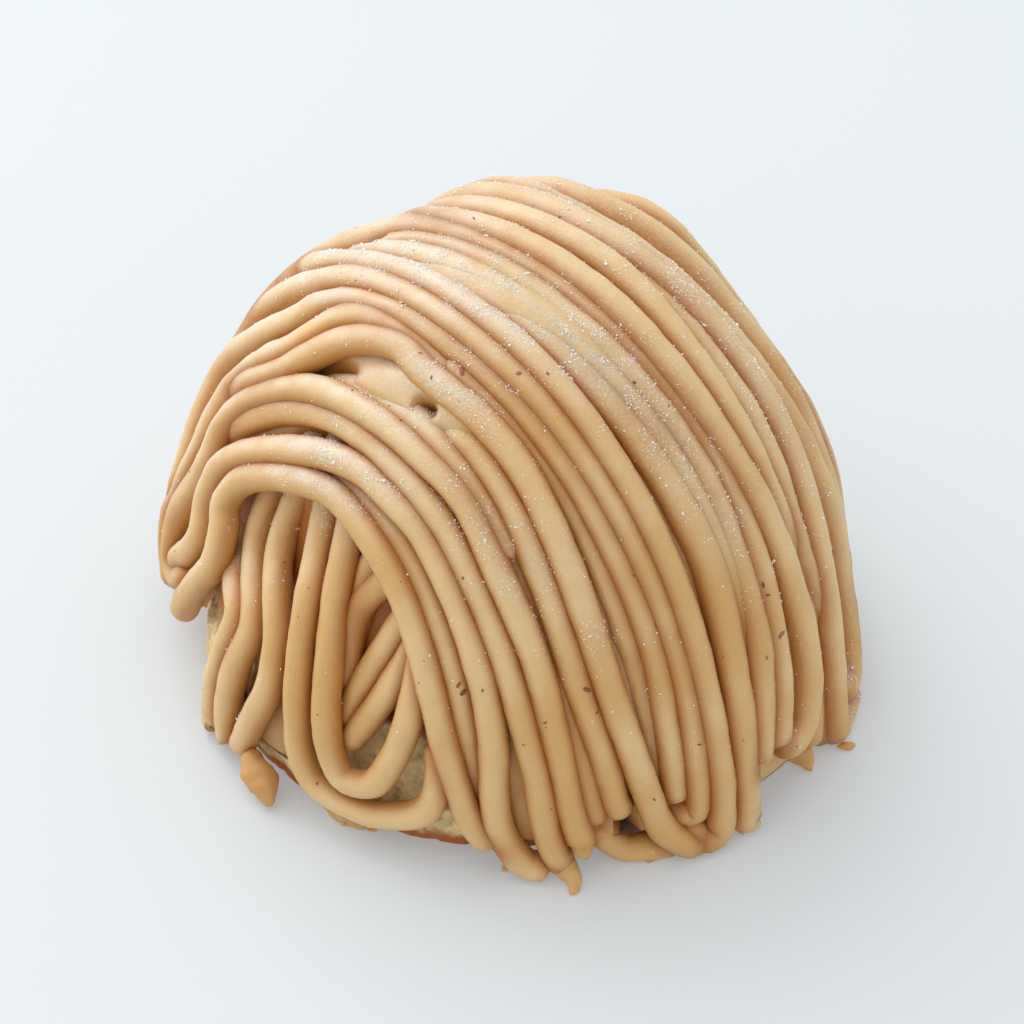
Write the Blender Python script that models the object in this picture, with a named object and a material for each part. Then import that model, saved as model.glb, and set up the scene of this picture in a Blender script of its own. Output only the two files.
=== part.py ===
"""Mont blanc: a sponge disc and a dome of whipped cream under draped strands of chestnut cream.

Metres, +Z up. The sponge rests on z = 0, and the origin is the middle of the base. The front of
the dessert, with its hanging loops, faces -Y. Everything below is reckoned in millimetres, on a
map of the dome, and scaled to metres as each mesh is made.
"""

import math
import random

import bmesh
import bpy
from mathutils import Vector

MM = 0.001

# The dome that the strands lie on: half length, half width and height, mm.
HALF_LENGTH = 40.0
HALF_WIDTH = 36.0
HEIGHT = 59.0
HEADING = math.radians(-32.0)  # the way that the strands run over the top, from +X
APEX_SHIFT = Vector((-0.5, -0.7))  # the top sits this far off the middle of the base
# Places where the dome swells out: map u, map v, spread, height in mm.
SWELLS = ((8, 39, 9, 1.5), (-12, 29, 9, 0.7), (-32, 16, 9, -1.8), (-57, -8, 8, 0.4), (-75, -38, 9, 1.0),
          (76, 46, 10, -1.0))

# The strands of chestnut cream, mm.
CROWN_RADIUS = 1.95
FRONT_RADIUS = 1.75
LOOP_RADIUS = 1.65
STRAND_SIDES = 5
RING_STEP = 9.0  # longest straight between two rings of a strand
RING_LEAST = 1.9  # the shortest
RING_TURN = math.radians(38.0)  # sharpest turn between two rings of a strand
SMOOTH_STEPS = 10  # places read off the smooth curve between two knots
CAP_REACH = 0.62  # how far a round end stands out, in radii
CAP_TAPER = 0.6  # and how wide it is there
LUMP_RADIUS = 1.8

# The shell of squeezed strands below the ones that show, mm.
SHELL_DEPTH = 2.7
# How much deeper it lies behind the hanging loops: map u, v, spread along u and v, and mm.
HOLLOWS = ((-34, -63, 21, 19, 3.2), (2, -76, 24, 24, 5.2), (-73, -64, 13, 11, 5), (32, -88, 12, 10, 5))
SHELL_FOOT = 4.6  # height of the shell's lower edge
SHELL_AROUND = 56
SHELL_RINGS = 14

# The sponge disc and the whipped cream on it, mm.
SPONGE_CENTRE = Vector((-1.0, 0.0))
SPONGE_RADIUS = 32.0
SPONGE_TOP_RADIUS = 27.9
SPONGE_STRAIGHT = 4.0  # height up to which its side is upright
SPONGE_HEIGHT = 15.6
SPONGE_ROUND = 1.6  # rounding of its upper edge
CREAM_RADIUS = 26.3
CREAM_TOP = 46.0
GAP = 0.35  # clear space between one food and the next
CAVITY_GROW = 0.6  # how much wider the shell's cavity is than what fills it
STRAND_CLEAR = 1.0  # and how far a strand keeps from the filling
SHOULDER = 1.1  # how fast the room for the sponge draws in with each mm above it
CREAM_STEPS = 7  # faces from the foot of the cream to its top
TURNED_SIDES = 40

# Each strand is a route over the dome: knots of (u, v) or (u, v, sink). The map is flat round the
# top: 100 from the middle is the foot of the dome, +u is the strands' heading, +v is the far side,
# and sink is how many mm the strand lies below the dome's outer face.
CROWN = (
    ((-88, 42), (-64, 53), (-36, 48), (-12, 40), (6, 37, -1), (18, 41, -0.5), (32, 45),
     (50, 47, -0.5), (66, 51), (78, 51), (87, 47)),
    ((-91, 33), (-70, 43), (-46, 43), (-25, 37), (-8, 31, -0.5), (9, 33), (26, 38),
     (44, 42), (58, 44), (68, 41), (78, 38), (88, 38)),
    ((-93, 23), (-74, 33), (-52, 37), (-34, 32), (-18, 26, -0.5), (3, 24, 0.8), (27, 28, 1),
     (45, 31, 0.6), (60, 33), (73, 36), (85, 34), (91, 28), (91, 21)),
    ((-95, 13), (-76, 22), (-56, 28), (-38, 26), (-22, 22.5, -0.4), (-11, 20), (9, 18.5),
     (33, 20.5), (50, 21.5), (70, 16.5), (84, 13), (95, 14), (101, 20), (101, 28), (96, 32)),
    ((16, 16, 1.5), (30, 14.5, 1), (50, 14.5, 1), (66, 11, 1), (76, 12.5, 1.2), (86, 17, 2.2)),
    ((-95, 3), (-76, 11), (-58, 18), (-42, 18), (-24, 12), (0, 11), (18, 10.5), (32, 8),
     (46, 6.5), (58, 7, 0.8), (70, 10, 2)),
    ((-95, -7), (-78, 1), (-62, 9), (-46, 14), (-32, 12), (-16, 5), (10, 3), (38, 1),
     (60, 1), (80, 0.5), (88, -4), (90, -10), (88, -16)),
    ((-94, -17), (-78, -12), (-64, -7), (-50, -0.5, -0.2), (-42, 7, -0.3), (-29, 7), (-14, 2.5, 0.5),
     (4, 0, 1), (36, -1.5, 1.2), (50, -3, 1), (66, -7.5, 0.4), (80, -13), (87, -18)),
    ((-42, 3, 1.5), (-62, 1, 0.6), (-78, -5.5, 0.4), (-94, -12, 0.3)),
)
PRESSED = (
    ((-31, 3.5, 1.8), (-16, -1, 1.2), (14, -5, 1.2), (46, -7.5, 1), (60, -11.5, 0.5), (72, -16),
     (82, -22), (86, -25.5)),
    ((-33, -3, 1), (-14, -5.5, 1), (14, -9, 1.2), (46, -12, 1), (64, -16, 0.8), (79, -20, 1.5)),
    ((4, -11, 1.5), (30, -14, 1), (46, -16, 0.6), (58, -18.5, 0.2), (74, -25.5), (89, -31), (97, -33)),
)
FRONT = (
    ((-92, -25), (-79, -18), (-67, -12.5), (-59, -9.5), (-53.5, -4, -0.2), (-47.5, 1, -0.1),
     (-37.5, -4.3), (-31, -7.2), (-24, -9.5), (0, -15), (25, -20), (51, -26.5), (74, -34.5), (83, -37.5), (88, -41),
     (87, -46), (80, -49.5, 2)),
    ((-88, -31), (-76, -24), (-68, -18), (-61, -13), (-54, -6.8), (-44.5, -8.9), (-35, -11),
     (-24, -13), (0, -19), (28, -25, 0.3), (57, -33, 0.6), (77, -41.5, 0.8), (82, -46, 1),
     (77, -51, 1.6)),
    ((-83, -38.5), (-73, -31.5, -0.2), (-67, -22, -0.7), (-61, -15.5, -0.4), (-50, -17.7),
     (-38, -19.4), (-26, -18), (-2, -21.5, 0.5), (25, -27.5, 0.8), (52, -36, 1), (66, -43, 1.2),
     (77, -49, 1.4)),
    ((3, -25.5, 1.2), (30, -32, 1.8), (55, -42, 2), (74, -51, 2.8)),
    ((-82, -44, -0.2), (-77, -37, -0.4), (-71, -37), (-63, -35), (-55, -28), (-45, -26.5),
     (-33, -26), (-22, -21.5), (-12, -22.5, 0.3), (3, -27.5, 1.4)),
    ((-50, -27.5, 0.5), (-42, -30), (-33, -30.5), (-20, -26), (-9, -25.5), (0, -29), (13, -31.5),
     (25, -35.5), (46, -46.5), (56, -51), (67, -54), (76, -55), (84, -50.5), (89, -46, 0.5)),
    ((3.5, -34.8, 2.6), (9, -35.2, 1.2), (14, -36.3, 0.8), (25, -41, 0.6), (46, -53, 0.6), (57, -58, 0.5), (63, -61, 0.6),
     (67.5, -61, 1.2)),
    ((6, -37.5, 2), (19, -43.5, 2), (40, -55, 1.8), (58, -64.5, 0.8), (61.5, -68, 1.5)),
    ((-26, -32.5, 3.2), (-14, -33.5, 1.9), (0, -36.3, 1.2), (12, -40, 0.6), (26, -46, 1)),
    ((-64, -55.5), (-70.5, -52.5), (-75.5, -47.5), (-75.5, -43), (-71, -41), (-66, -41), (-60, -39, 0.5),
     (-49, -34.5), (-36, -34), (-20, -35.5), (3, -40.5), (14.5, -43.5), (25, -49.5), (35.5, -55),
     (46, -62.5), (55, -69), (61, -72)),
    ((-55, -34, 1.5), (-41, -36.6, 0.8), (-29, -37.3, 0.8), (-12, -40.2, 0.5), (9, -47, 0.2),
     (20, -52.5, 0.2), (30, -58.5, 0.2), (38, -64), (46, -70), (52, -75.5), (58, -78.3), (60.5, -79.5)),
    ((-75, -46.5, 0.6), (-67.5, -50.5), (-60, -52.7), (-54, -52), (-53.2, -47), (-47.5, -43.4), (-32, -44.4), (-10, -45.6),
     (-1, -47.7), (9, -51), (20, -57.5), (29, -64.5), (35, -72), (38, -78), (42, -82.5), (49, -84),
     (57, -81.5)),
    ((-15, -47.5, 2), (-3, -51, 1.6), (8, -56, 1.4), (19, -63.5, 1.2), (27, -71.5, 1.2),
     (36.5, -83.5, 2.5)),
    ((-69, -58.7), (-61, -59.7), (-52.5, -60), (-46.3, -59.2), (-43.8, -54.5), (-43.8, -50), (-37, -48),
     (-23.5, -49),
     (-12, -50.5), (-1, -55), (9, -61), (18, -69.5), (23, -75), (29, -81), (36, -85), (42, -85)),
    ((60, -70, 2.4), (71, -66.5, 2), (79, -61, 1.5), (86, -54, 1)),
)
LOOPS = (
    ((-59, -44, 4.4), (-59, -49, 4.4), (-56, -54.5, 4.2), (-53, -59.5, 3.8), (-50.5, -64, 3.4)),
    ((-48, -45.5, 4), (-50.5, -48, 4), (-48, -54.5, 3.4), (-42, -63, 1.6), (-37, -69, 0.5),
     (-42.5, -74.5), (-49, -79.5), (-53, -84.5), (-53.5, -88)),
    ((-37.5, -48, 4), (-40, -54, 3.6), (-39, -59, 3), (-36, -64, 2.2), (-32, -71, 0.8), (-37, -77),
     (-41.5, -81.5), (-44, -86), (-43.5, -89)),
    ((-25, -41.5, 3.4), (-27, -47, 4), (-30, -55, 3.6), (-29.5, -61, 2.8), (-26, -67, 1.6), (-23, -74, 0.6), (-25, -81),
     (-31.5, -85.5), (-38.5, -89.5)),
    ((-18.5, -42, 3.4), (-18.5, -48, 3.8), (-17.5, -58, 3), (-15, -67, 1), (-15, -76, 0.4), (-14.5, -84), (-13.5, -89.5),
     (-8, -93.5), (5.5, -94.5), (15, -92.5), (22, -89), (25, -84), (22.5, -77.5, 1)),
    ((-12, -43.5, 3.4), (-10.5, -50, 3.6), (-9, -63, 2), (-7.5, -73, 0.9), (-5.5, -84), (-1.5, -90), (4, -90.5), (9.5, -88.5),
     (13, -83.5, 0.1), (14.5, -79.5, 0.3), (15, -74, 0.8), (14.5, -69.5, 1.4), (14, -66.5, 2.2)),
    ((-3, -59, 3.6), (-4, -66, 3.4), (-7.5, -76, 4.2)),
    ((4, -57, 3), (2, -60, 3), (-3.5, -65.5, 3), (-5.5, -72, 3.2), (-6, -80, 3.6)),
    ((10, -61, 3.4), (7, -65.5, 3.4), (4, -71, 3.2), (0, -77, 3.2), (-6, -84.5, 3.6)),
    ((14, -62, 3), (12, -67, 2.8), (9.5, -72.5, 2.4), (4.5, -80, 2.3), (-2.5, -87, 2.8)),
)
LUMP = ((-38, -88, 0.6), (-31.5, -94.5), (-28.5, -99.5))

# The far side, which repeats the front's way of piping: passes joined by hairpins, over loops.
BACK_PASSES = 4
BACK_FIRST = 54.0  # v of the first pass where it crosses the middle
BACK_PITCH = 6.3  # v from one pass to the next
BACK_SAG = (5.0, 1.5)  # how much further out its feet are, for the first pass and more for each
BACK_FOOT = 95.0  # how far out on the map a pass runs down
BACK_KNOTS = (-1, -0.8, -0.4, 0, 0.4, 0.8, 1)  # where a pass has its knots, in half lengths
BACK_LOOPS = 5
BACK_LOOP_PITCH = 18.0
BACK_LOOP_HALF = 5.6  # half the width of a loop
BACK_LOOP_TOP = 74.0  # how far out on the map a loop starts
BACK_LOOP_FOOT = 93.0  # and how far out it turns
BACK_LOOP_SINKS = (3.5, 0.8, 0.0)  # how deep it lies at its top, half way and at its turn, mm
UNEVEN = 1.1  # how far a knot on the far side strays, in map units
RANDOM_SEED = 7
SMOOTH_ANGLE = math.radians(40.0)  # faces that meet more sharply keep their edge


def swell(u, v):
    """How far the dome stands out beyond the plain ellipsoid at a place on the map, mm."""
    return sum(rise * math.exp(-((u - cu) ** 2 + (v - cv) ** 2) / (2 * spread ** 2))
               for cu, cv, spread, rise in SWELLS)


def on_dome(u, v, depth):
    """The point that lies depth mm below the dome's outer face at a place on the map."""
    slope = math.hypot(u, v) / 100 * math.pi / 2
    around = math.atan2(v, u)
    inset = depth - swell(u, v)
    along = math.sin(slope) * math.cos(around) * (HALF_LENGTH - inset)
    across = math.sin(slope) * math.sin(around) * (HALF_WIDTH - inset)
    up = math.cos(slope)
    x = along * math.cos(HEADING) - across * math.sin(HEADING) + up * APEX_SHIFT.x
    y = along * math.sin(HEADING) + across * math.cos(HEADING) + up * APEX_SHIFT.y
    return Vector((x, y, up * (HEIGHT - inset)))


def sponge_reach(height):
    """How far out from its axis the sponge goes at a height."""
    share = (height - SPONGE_STRAIGHT) / (SPONGE_HEIGHT - SPONGE_STRAIGHT)
    return SPONGE_RADIUS + (SPONGE_TOP_RADIUS - SPONGE_RADIUS) * min(1.0, max(0.0, share))


def clear_of_filling(point, radius):
    """The same point, lifted off the table and moved out until a strand clears the filling."""
    z = max(point.z, radius)
    above = max(0.0, z - radius - SPONGE_HEIGHT)
    share = min(1.0, above / (CREAM_TOP - SPONGE_HEIGHT))
    filling = max(sponge_reach(z - radius / 2) - above * SHOULDER,
                  CREAM_RADIUS * math.sqrt(1 - share ** 2))
    arm = Vector((point.x, point.y)) - SPONGE_CENTRE
    least = filling + radius + STRAND_CLEAR
    if arm.length < least and share < 1.0:
        arm = arm.normalized() * least
    arm += SPONGE_CENTRE
    return Vector((arm.x, arm.y, z))


def smooth(knots):
    """A smooth curve through knots of (u, v, sink), as closely spaced map places."""
    knots = [Vector((*knot, 0.0)[:3]) for knot in knots]
    knots = [2 * knots[0] - knots[1], *knots, 2 * knots[-1] - knots[-2]]
    places = []
    for before, start, end, after in zip(knots, knots[1:], knots[2:], knots[3:]):
        for step in range(SMOOTH_STEPS):
            t = step / SMOOTH_STEPS
            places.append(0.5 * (2 * start + (end - before) * t
                                 + (2 * before - 5 * start + 4 * end - after) * t ** 2
                                 + (3 * start - before - 3 * end + after) * t ** 3))
    return [*places, knots[-2]]


def strand_rings(knots, radius):
    """Where a strand has its rings: a point and the way out from the dome, for each."""
    points = []
    for u, v, sink in smooth(knots):
        middle = clear_of_filling(on_dome(u, v, radius + sink), radius)
        points.append((middle, (on_dome(u, v, -radius) - on_dome(u, v, radius)).normalized()))
    rings = [points[0]]
    heading = (points[1][0] - points[0][0]).normalized()
    for here, (point, outward) in enumerate(points[1:-1], 1):
        ahead = (points[here + 1][0] - point).normalized()
        step = (point - rings[-1][0]).length
        if step > RING_STEP or (step > RING_LEAST and ahead.angle(heading) > RING_TURN):
            rings.append((point, outward))
            heading = ahead
    if (points[-1][0] - rings[-1][0]).length < radius:
        rings.pop()
    return [*rings, points[-1]]


def strand(name, knots, radius):
    """A strand with round ends along its knots, as a mesh object."""
    rings = strand_rings(knots, radius)
    mesh = bmesh.new()
    loops = []
    for here, (point, outward) in enumerate(rings):
        ahead = (rings[min(here + 1, len(rings) - 1)][0] - rings[max(here - 1, 0)][0]).normalized()
        side = ahead.cross(outward).normalized()
        outward = side.cross(ahead)
        stations = [(point, radius)]
        if here == 0:
            stations.insert(0, (point - ahead * radius * CAP_REACH, radius * CAP_TAPER))
        if here == len(rings) - 1:
            stations.append((point + ahead * radius * CAP_REACH, radius * CAP_TAPER))
        for centre, size in stations:
            corners = [(2 * math.pi * corner / STRAND_SIDES) for corner in range(STRAND_SIDES)]
            loops.append([mesh.verts.new((centre + size * (math.cos(angle) * outward
                                                           + math.sin(angle) * side)) * MM)
                          for angle in corners])
    for first, second in zip(loops, loops[1:]):
        for corner in range(STRAND_SIDES):
            following = (corner + 1) % STRAND_SIDES
            mesh.faces.new((first[corner], first[following], second[following], second[corner]))
    mesh.faces.new(list(reversed(loops[0])))
    mesh.faces.new(loops[-1])
    bmesh.ops.recalc_face_normals(mesh, faces=mesh.faces)
    return mesh_object(name, mesh)


def mesh_object(name, mesh, material=None):
    """Link a bmesh to the scene as a named object and free it."""
    data = bpy.data.meshes.new(name)
    mesh.to_mesh(data)
    mesh.free()
    if material:
        data.materials.append(material)
    made = bpy.data.objects.new(name, data)
    bpy.context.scene.collection.objects.link(made)
    return made


def turned(name, profile, material=None):
    """A solid turned about the sponge's axis from a profile of (radius, height), foot to top."""
    mesh = bmesh.new()
    centre = Vector((*SPONGE_CENTRE, 0.0))
    outline = [mesh.verts.new((centre + Vector((radius, 0.0, height))) * MM)
               for radius, height in profile]
    edges = [mesh.edges.new(pair) for pair in zip(outline, outline[1:])]
    bmesh.ops.spin(mesh, geom=outline + edges, cent=centre * MM, axis=(0, 0, 1),
                   angle=2 * math.pi, steps=TURNED_SIDES, use_merge=True)
    bmesh.ops.remove_doubles(mesh, verts=mesh.verts, dist=1e-6)
    bmesh.ops.recalc_face_normals(mesh, faces=mesh.faces)
    return mesh_object(name, mesh, material)


def sponge_profile():
    """The sponge's outline, from the middle of its foot to the middle of its top."""
    middle = (SPONGE_TOP_RADIUS - SPONGE_ROUND, SPONGE_HEIGHT - SPONGE_ROUND)
    arc = [(middle[0] + SPONGE_ROUND * math.cos(angle), middle[1] + SPONGE_ROUND * math.sin(angle))
           for angle in (0, math.pi / 4, math.pi / 2)]
    return [(0, 0), (SPONGE_RADIUS, 0), (SPONGE_RADIUS, SPONGE_STRAIGHT), *arc, (0, SPONGE_HEIGHT)]


def cream_profile(grow=0.0):
    """The cream's outline, from the middle of its foot to its top."""
    foot = SPONGE_HEIGHT + GAP
    rise = CREAM_TOP + grow - foot
    angles = [math.pi / 2 * step / CREAM_STEPS for step in range(CREAM_STEPS)]
    arc = [((CREAM_RADIUS + grow) * math.cos(angle), foot + rise * math.sin(angle)) for angle in angles]
    return [(0, foot), *arc, (0, foot + rise)]


def cavity_profile():
    """The room inside the shell, from below its foot: the sponge and the cream, each grown."""
    wide, top = SPONGE_RADIUS + CAVITY_GROW, SPONGE_TOP_RADIUS + CAVITY_GROW
    below = -CAVITY_GROW
    return [(0, below), (wide, below), (wide, SPONGE_STRAIGHT), (top, SPONGE_HEIGHT + GAP),
            *cream_profile(CAVITY_GROW)[1:]]


def shell_depth(u, v):
    """How deep the shell's outer face lies at a place on the map, mm."""
    return SHELL_DEPTH + sum(depth * math.exp(-(((u - cu) / su) ** 2 + ((v - cv) / sv) ** 2) ** 2)
                             for cu, cv, su, sv, depth in HOLLOWS)


def shell_body(name):
    """The closed dome that the strands are fused to, before its cavity is cut."""
    mesh = bmesh.new()
    top = mesh.verts.new(on_dome(0, 0, shell_depth(0, 0)) * MM)
    loops = []
    for ring in range(1, SHELL_RINGS + 1):
        reach = 100 * ring / SHELL_RINGS
        loop = []
        for spoke in range(SHELL_AROUND):
            angle = 2 * math.pi * spoke / SHELL_AROUND
            u, v = reach * math.cos(angle), reach * math.sin(angle)
            point = on_dome(u, v, shell_depth(u, v))
            point.z = max(point.z, SHELL_FOOT)
            loop.append(mesh.verts.new(point * MM))
        loops.append(loop)
    for spoke in range(SHELL_AROUND):
        following = (spoke + 1) % SHELL_AROUND
        mesh.faces.new((top, loops[0][spoke], loops[0][following]))
        for upper, lower in zip(loops, loops[1:]):
            mesh.faces.new((upper[spoke], lower[spoke], lower[following], upper[following]))
    mesh.faces.new(loops[-1])
    bmesh.ops.recalc_face_normals(mesh, faces=mesh.faces)
    return mesh_object(name, mesh)


def back_strands():
    """The far side: one long strand in passes and hairpins, and loops hanging below it."""
    draw = random.Random(RANDOM_SEED)
    passes = []
    for number in range(BACK_PASSES):
        middle = BACK_FIRST + number * BACK_PITCH
        sag = BACK_SAG[0] + BACK_SAG[1] * number
        half_length = math.sqrt(BACK_FOOT ** 2 - (middle + sag) ** 2)
        knots = [(half_length * share, middle + sag * share ** 2 + draw.uniform(-UNEVEN, UNEVEN))
                 for share in BACK_KNOTS]
        passes.extend(reversed(knots) if number % 2 else knots)
    strands = [passes]
    top_sink, side_sink, turn_sink = BACK_LOOP_SINKS
    for number in range(BACK_LOOPS):
        u = (number - (BACK_LOOPS - 1) / 2) * BACK_LOOP_PITCH + draw.uniform(-UNEVEN, UNEVEN)
        top = math.sqrt(BACK_LOOP_TOP ** 2 - u ** 2)
        low = math.sqrt(BACK_LOOP_FOOT ** 2 - u ** 2)
        leg = [(0.7, top, top_sink), (1, (top + low) / 2, side_sink), (1, low - 2, turn_sink),
               (0.5, low + 0.5, turn_sink)]
        down = [(u - share * BACK_LOOP_HALF, v, sink) for share, v, sink in leg]
        back_up = [(u + share * BACK_LOOP_HALF, v, sink) for share, v, sink in reversed(leg)]
        strands.append(down + back_up)
    return strands


def finish(name, colour, roughness):
    """A plain food material."""
    material = bpy.data.materials.new(name)
    material.use_nodes = True
    shader = material.node_tree.nodes["Principled BSDF"]
    shader.inputs["Base Color"].default_value = (*colour, 1.0)
    shader.inputs["Roughness"].default_value = roughness
    shader.inputs["Metallic"].default_value = 0.0
    return material


def bodies(mesh):
    """The separate bodies of a bmesh, each as its list of vertices, the largest first."""
    left = set(mesh.verts)
    found = []
    while left:
        queue = [left.pop()]
        body = list(queue)
        while queue:
            for edge in queue.pop().link_edges:
                for vertex in edge.verts:
                    if vertex in left:
                        left.remove(vertex)
                        queue.append(vertex)
                        body.append(vertex)
        found.append(body)
    return sorted(found, key=len, reverse=True)


def keep_largest_body(data):
    """Fill the hollows that fusing sealed and drop loose scraps, both of which are small bodies.

    Where two strands only just touch, the fused skin can pinch to an edge of four faces. Such an
    edge is well under a millimetre long, so it is closed to a point.
    """
    mesh = bmesh.new()
    mesh.from_mesh(data)
    for body in bodies(mesh)[1:]:
        bmesh.ops.delete(mesh, geom=body, context="VERTS")
    bmesh.ops.triangulate(mesh, faces=mesh.faces)
    while pinched := [edge for edge in mesh.edges if len(edge.link_faces) > 2]:
        bmesh.ops.collapse(mesh, edges=pinched)
        bare = [edge for edge in mesh.edges if not edge.link_faces]
        bmesh.ops.delete(mesh, geom=bare, context="EDGES")
    mesh.to_mesh(data)
    mesh.free()


def fuse_strands(shell):
    """Cut the cavity from the shell, fuse every strand to it, and keep the largest body."""
    cavity = turned("cavity", cavity_profile())
    collection = bpy.data.collections.new("strands")
    bpy.context.scene.collection.children.link(collection)
    routes = [(knots, CROWN_RADIUS) for knots in (*CROWN, *PRESSED, *back_strands())]
    routes += [(knots, FRONT_RADIUS) for knots in FRONT]
    routes += [(knots, LOOP_RADIUS) for knots in LOOPS]
    made = [strand(f"strand_{number:02d}", *route) for number, route in enumerate(routes)]
    made.append(strand("lump", LUMP, LUMP_RADIUS))
    for one in made:
        bpy.context.scene.collection.objects.unlink(one)
        collection.objects.link(one)
    cut = shell.modifiers.new("cavity", "BOOLEAN")
    cut.operation = "DIFFERENCE"
    cut.object = cavity
    join = shell.modifiers.new("strands", "BOOLEAN")
    join.operation = "UNION"
    join.operand_type = "COLLECTION"
    join.collection = collection
    join.solver = "MANIFOLD"
    evaluated = shell.evaluated_get(bpy.context.evaluated_depsgraph_get())
    fused = bpy.data.meshes.new_from_object(evaluated)
    shell.modifiers.clear()
    keep_largest_body(fused)
    shell.data = fused
    for one in (*made, cavity):
        bpy.data.objects.remove(one)
    bpy.data.collections.remove(collection)


def main():
    for leftover in list(bpy.data.objects):
        bpy.data.objects.remove(leftover)
    sponge = finish("sponge", (0.62, 0.42, 0.20), 0.9)
    cream = finish("whipped_cream", (0.86, 0.83, 0.76), 0.5)
    chestnut = finish("chestnut_cream", (0.66, 0.43, 0.22), 0.45)
    turned("sponge_base", sponge_profile(), sponge)
    turned("whipped_cream", cream_profile(), cream)
    shell = shell_body("chestnut_cream")
    fuse_strands(shell)
    shell.data.materials.clear()
    shell.data.materials.append(chestnut)
    for food in bpy.data.objects:
        food.data.shade_smooth()
        food.data.set_sharp_from_angle(angle=SMOOTH_ANGLE)


main()
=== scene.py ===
"""Looks of a mont blanc: piped chestnut cream over whipped cream and sponge.

Metres, +Z up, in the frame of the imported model. Places on the dessert are reckoned in millimetres,
on a map of its dome, and scaled to metres as each mesh is made.
"""

import math
import random

import bmesh
import bpy
import numpy as np
from mathutils import Matrix, Vector, noise
from mathutils.bvhtree import BVHTree
from mathutils.kdtree import KDTree


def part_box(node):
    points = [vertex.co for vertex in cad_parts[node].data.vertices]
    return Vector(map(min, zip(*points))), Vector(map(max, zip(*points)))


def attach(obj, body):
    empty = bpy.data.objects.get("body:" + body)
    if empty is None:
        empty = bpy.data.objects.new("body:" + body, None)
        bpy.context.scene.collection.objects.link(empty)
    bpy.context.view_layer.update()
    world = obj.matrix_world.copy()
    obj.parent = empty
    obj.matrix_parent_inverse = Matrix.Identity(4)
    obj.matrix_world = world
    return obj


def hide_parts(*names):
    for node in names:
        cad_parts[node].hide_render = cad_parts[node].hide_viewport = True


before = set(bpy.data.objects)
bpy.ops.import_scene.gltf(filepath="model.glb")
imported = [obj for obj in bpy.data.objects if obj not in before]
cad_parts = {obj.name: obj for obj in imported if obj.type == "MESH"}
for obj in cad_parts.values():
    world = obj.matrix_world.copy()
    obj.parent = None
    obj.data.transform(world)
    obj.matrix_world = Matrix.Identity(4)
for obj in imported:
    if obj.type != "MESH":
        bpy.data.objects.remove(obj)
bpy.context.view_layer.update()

bl_info = {
    "name": "Mont Blanc Dessert",
    "version": (1, 0, 0),
    "blender": (4, 5, 0),
    "location": "View3D > Sidebar > Mont Blanc",
    "description": "Makes a mont blanc: sponge, whipped cream and piped strands of chestnut cream",
    "category": "Object",
}

MM = 0.001
BODY = "root"

# The dome that the strands lie on, mm. The map of it is flat round the top: 100 from the middle is
# the foot of the dome, +u is the way that the strands run over the top, and +v is the far side.
HALF_LENGTH = 40.0
HALF_WIDTH = 36.0
HEIGHT = 59.0
HEADING = math.radians(-32.0)
# How far the top lies off the middle.
APEX_SHIFT = Vector((-0.5, -0.7))
MAP_REACH = 100
# Where the dome swells, or sinks if below zero: map u, v, spread and mm.
SWELLS = (
    (8, 39, 9, 1.5), (-12, 29, 9, 0.7), (-32, 16, 9, -1.8), (-57, -8, 8, 0.4), (-75, -38, 9, 1.0),
    (76, 46, 10, -1.0),
)

# The sponge and the cream, in metres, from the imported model.
SPONGE_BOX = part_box("sponge_base")
CREAM_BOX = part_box("whipped_cream")
SPONGE_CENTRE = Vector(((SPONGE_BOX[0].x + SPONGE_BOX[1].x) / 2,
                        (SPONGE_BOX[0].y + SPONGE_BOX[1].y) / 2, 0))
SPONGE_RADIUS = (SPONGE_BOX[1].x - SPONGE_BOX[0].x) / 2
SPONGE_HEIGHT = SPONGE_BOX[1].z
SPONGE_TOP_RADIUS = 27.9 * MM
# How high the sponge's side stands upright, before it leans in.
SPONGE_STRAIGHT = 4.0 * MM
SPONGE_CORNER = 1.6 * MM
SPONGE_ROWS = 44
SPONGE_SPOKES = 20
SPONGE_SIDES = 520
# Where the sponge stands out past the strands: degrees round from +X, spread, height, spread and mm.
SPONGE_BULGE = (192, 24, 7.5, 5.5, 2.3)
# Nearer to its axis than this, the sponge has no bulge, mm.
SPONGE_CORE = 20
# Pores of the crumb: pitch in mm, size as a share of it, and depth in mm.
LARGE_PORES = (1.5, 0.42, 0.75)
SMALL_PORES = (0.75, 0.4, 0.25)
# Patches of deeper large pores: pitch in mm, and how deep pores are between them. Then how much of a
# pore a small one is, and the slow waves of the crumb: pitch and height in mm.
PORE_PATCHES = (4, 0.75)
SMALL_PORE_SHARE = 0.5
CRUMB_WAVES = (3, 0.45)
# Where the sponge is browned, mm: up to this high at the foot, and from this far below the top, where the
# browning is partly painted shade under the strands.
CRUST_FOOT = 3.4
CRUST_TOP = 3.5
CREAM_RADIUS = (CREAM_BOX[1].x - CREAM_BOX[0].x) / 2
CREAM_FOOT = CREAM_BOX[0].z
CREAM_TOP = CREAM_BOX[1].z
CREAM_STEPS = 40
CREAM_SIDES = 120

# The shell of squeezed strands below the ones that show, mm.
SHELL_DEPTH = 2.7
SHELL_FOOT = 4.6
SHELL_SEGMENTS = 360
SHELL_RINGS = 300
# How much painted shade the shell has where it isn't deep, 0 to 1, and how much more for each mm that it
# is deeper.
SHELL_SHADE = 0.22
SHELL_SHADE_STEP = 0.3
# How much deeper it lies behind the hanging loops: map u, v, spread along u and v, and mm.
HOLLOWS = ((-34, -63, 21, 19, 3.2), (2, -76, 24, 24, 5.2), (-73, -64, 13, 11, 5), (32, -88, 12, 10, 5))
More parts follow.
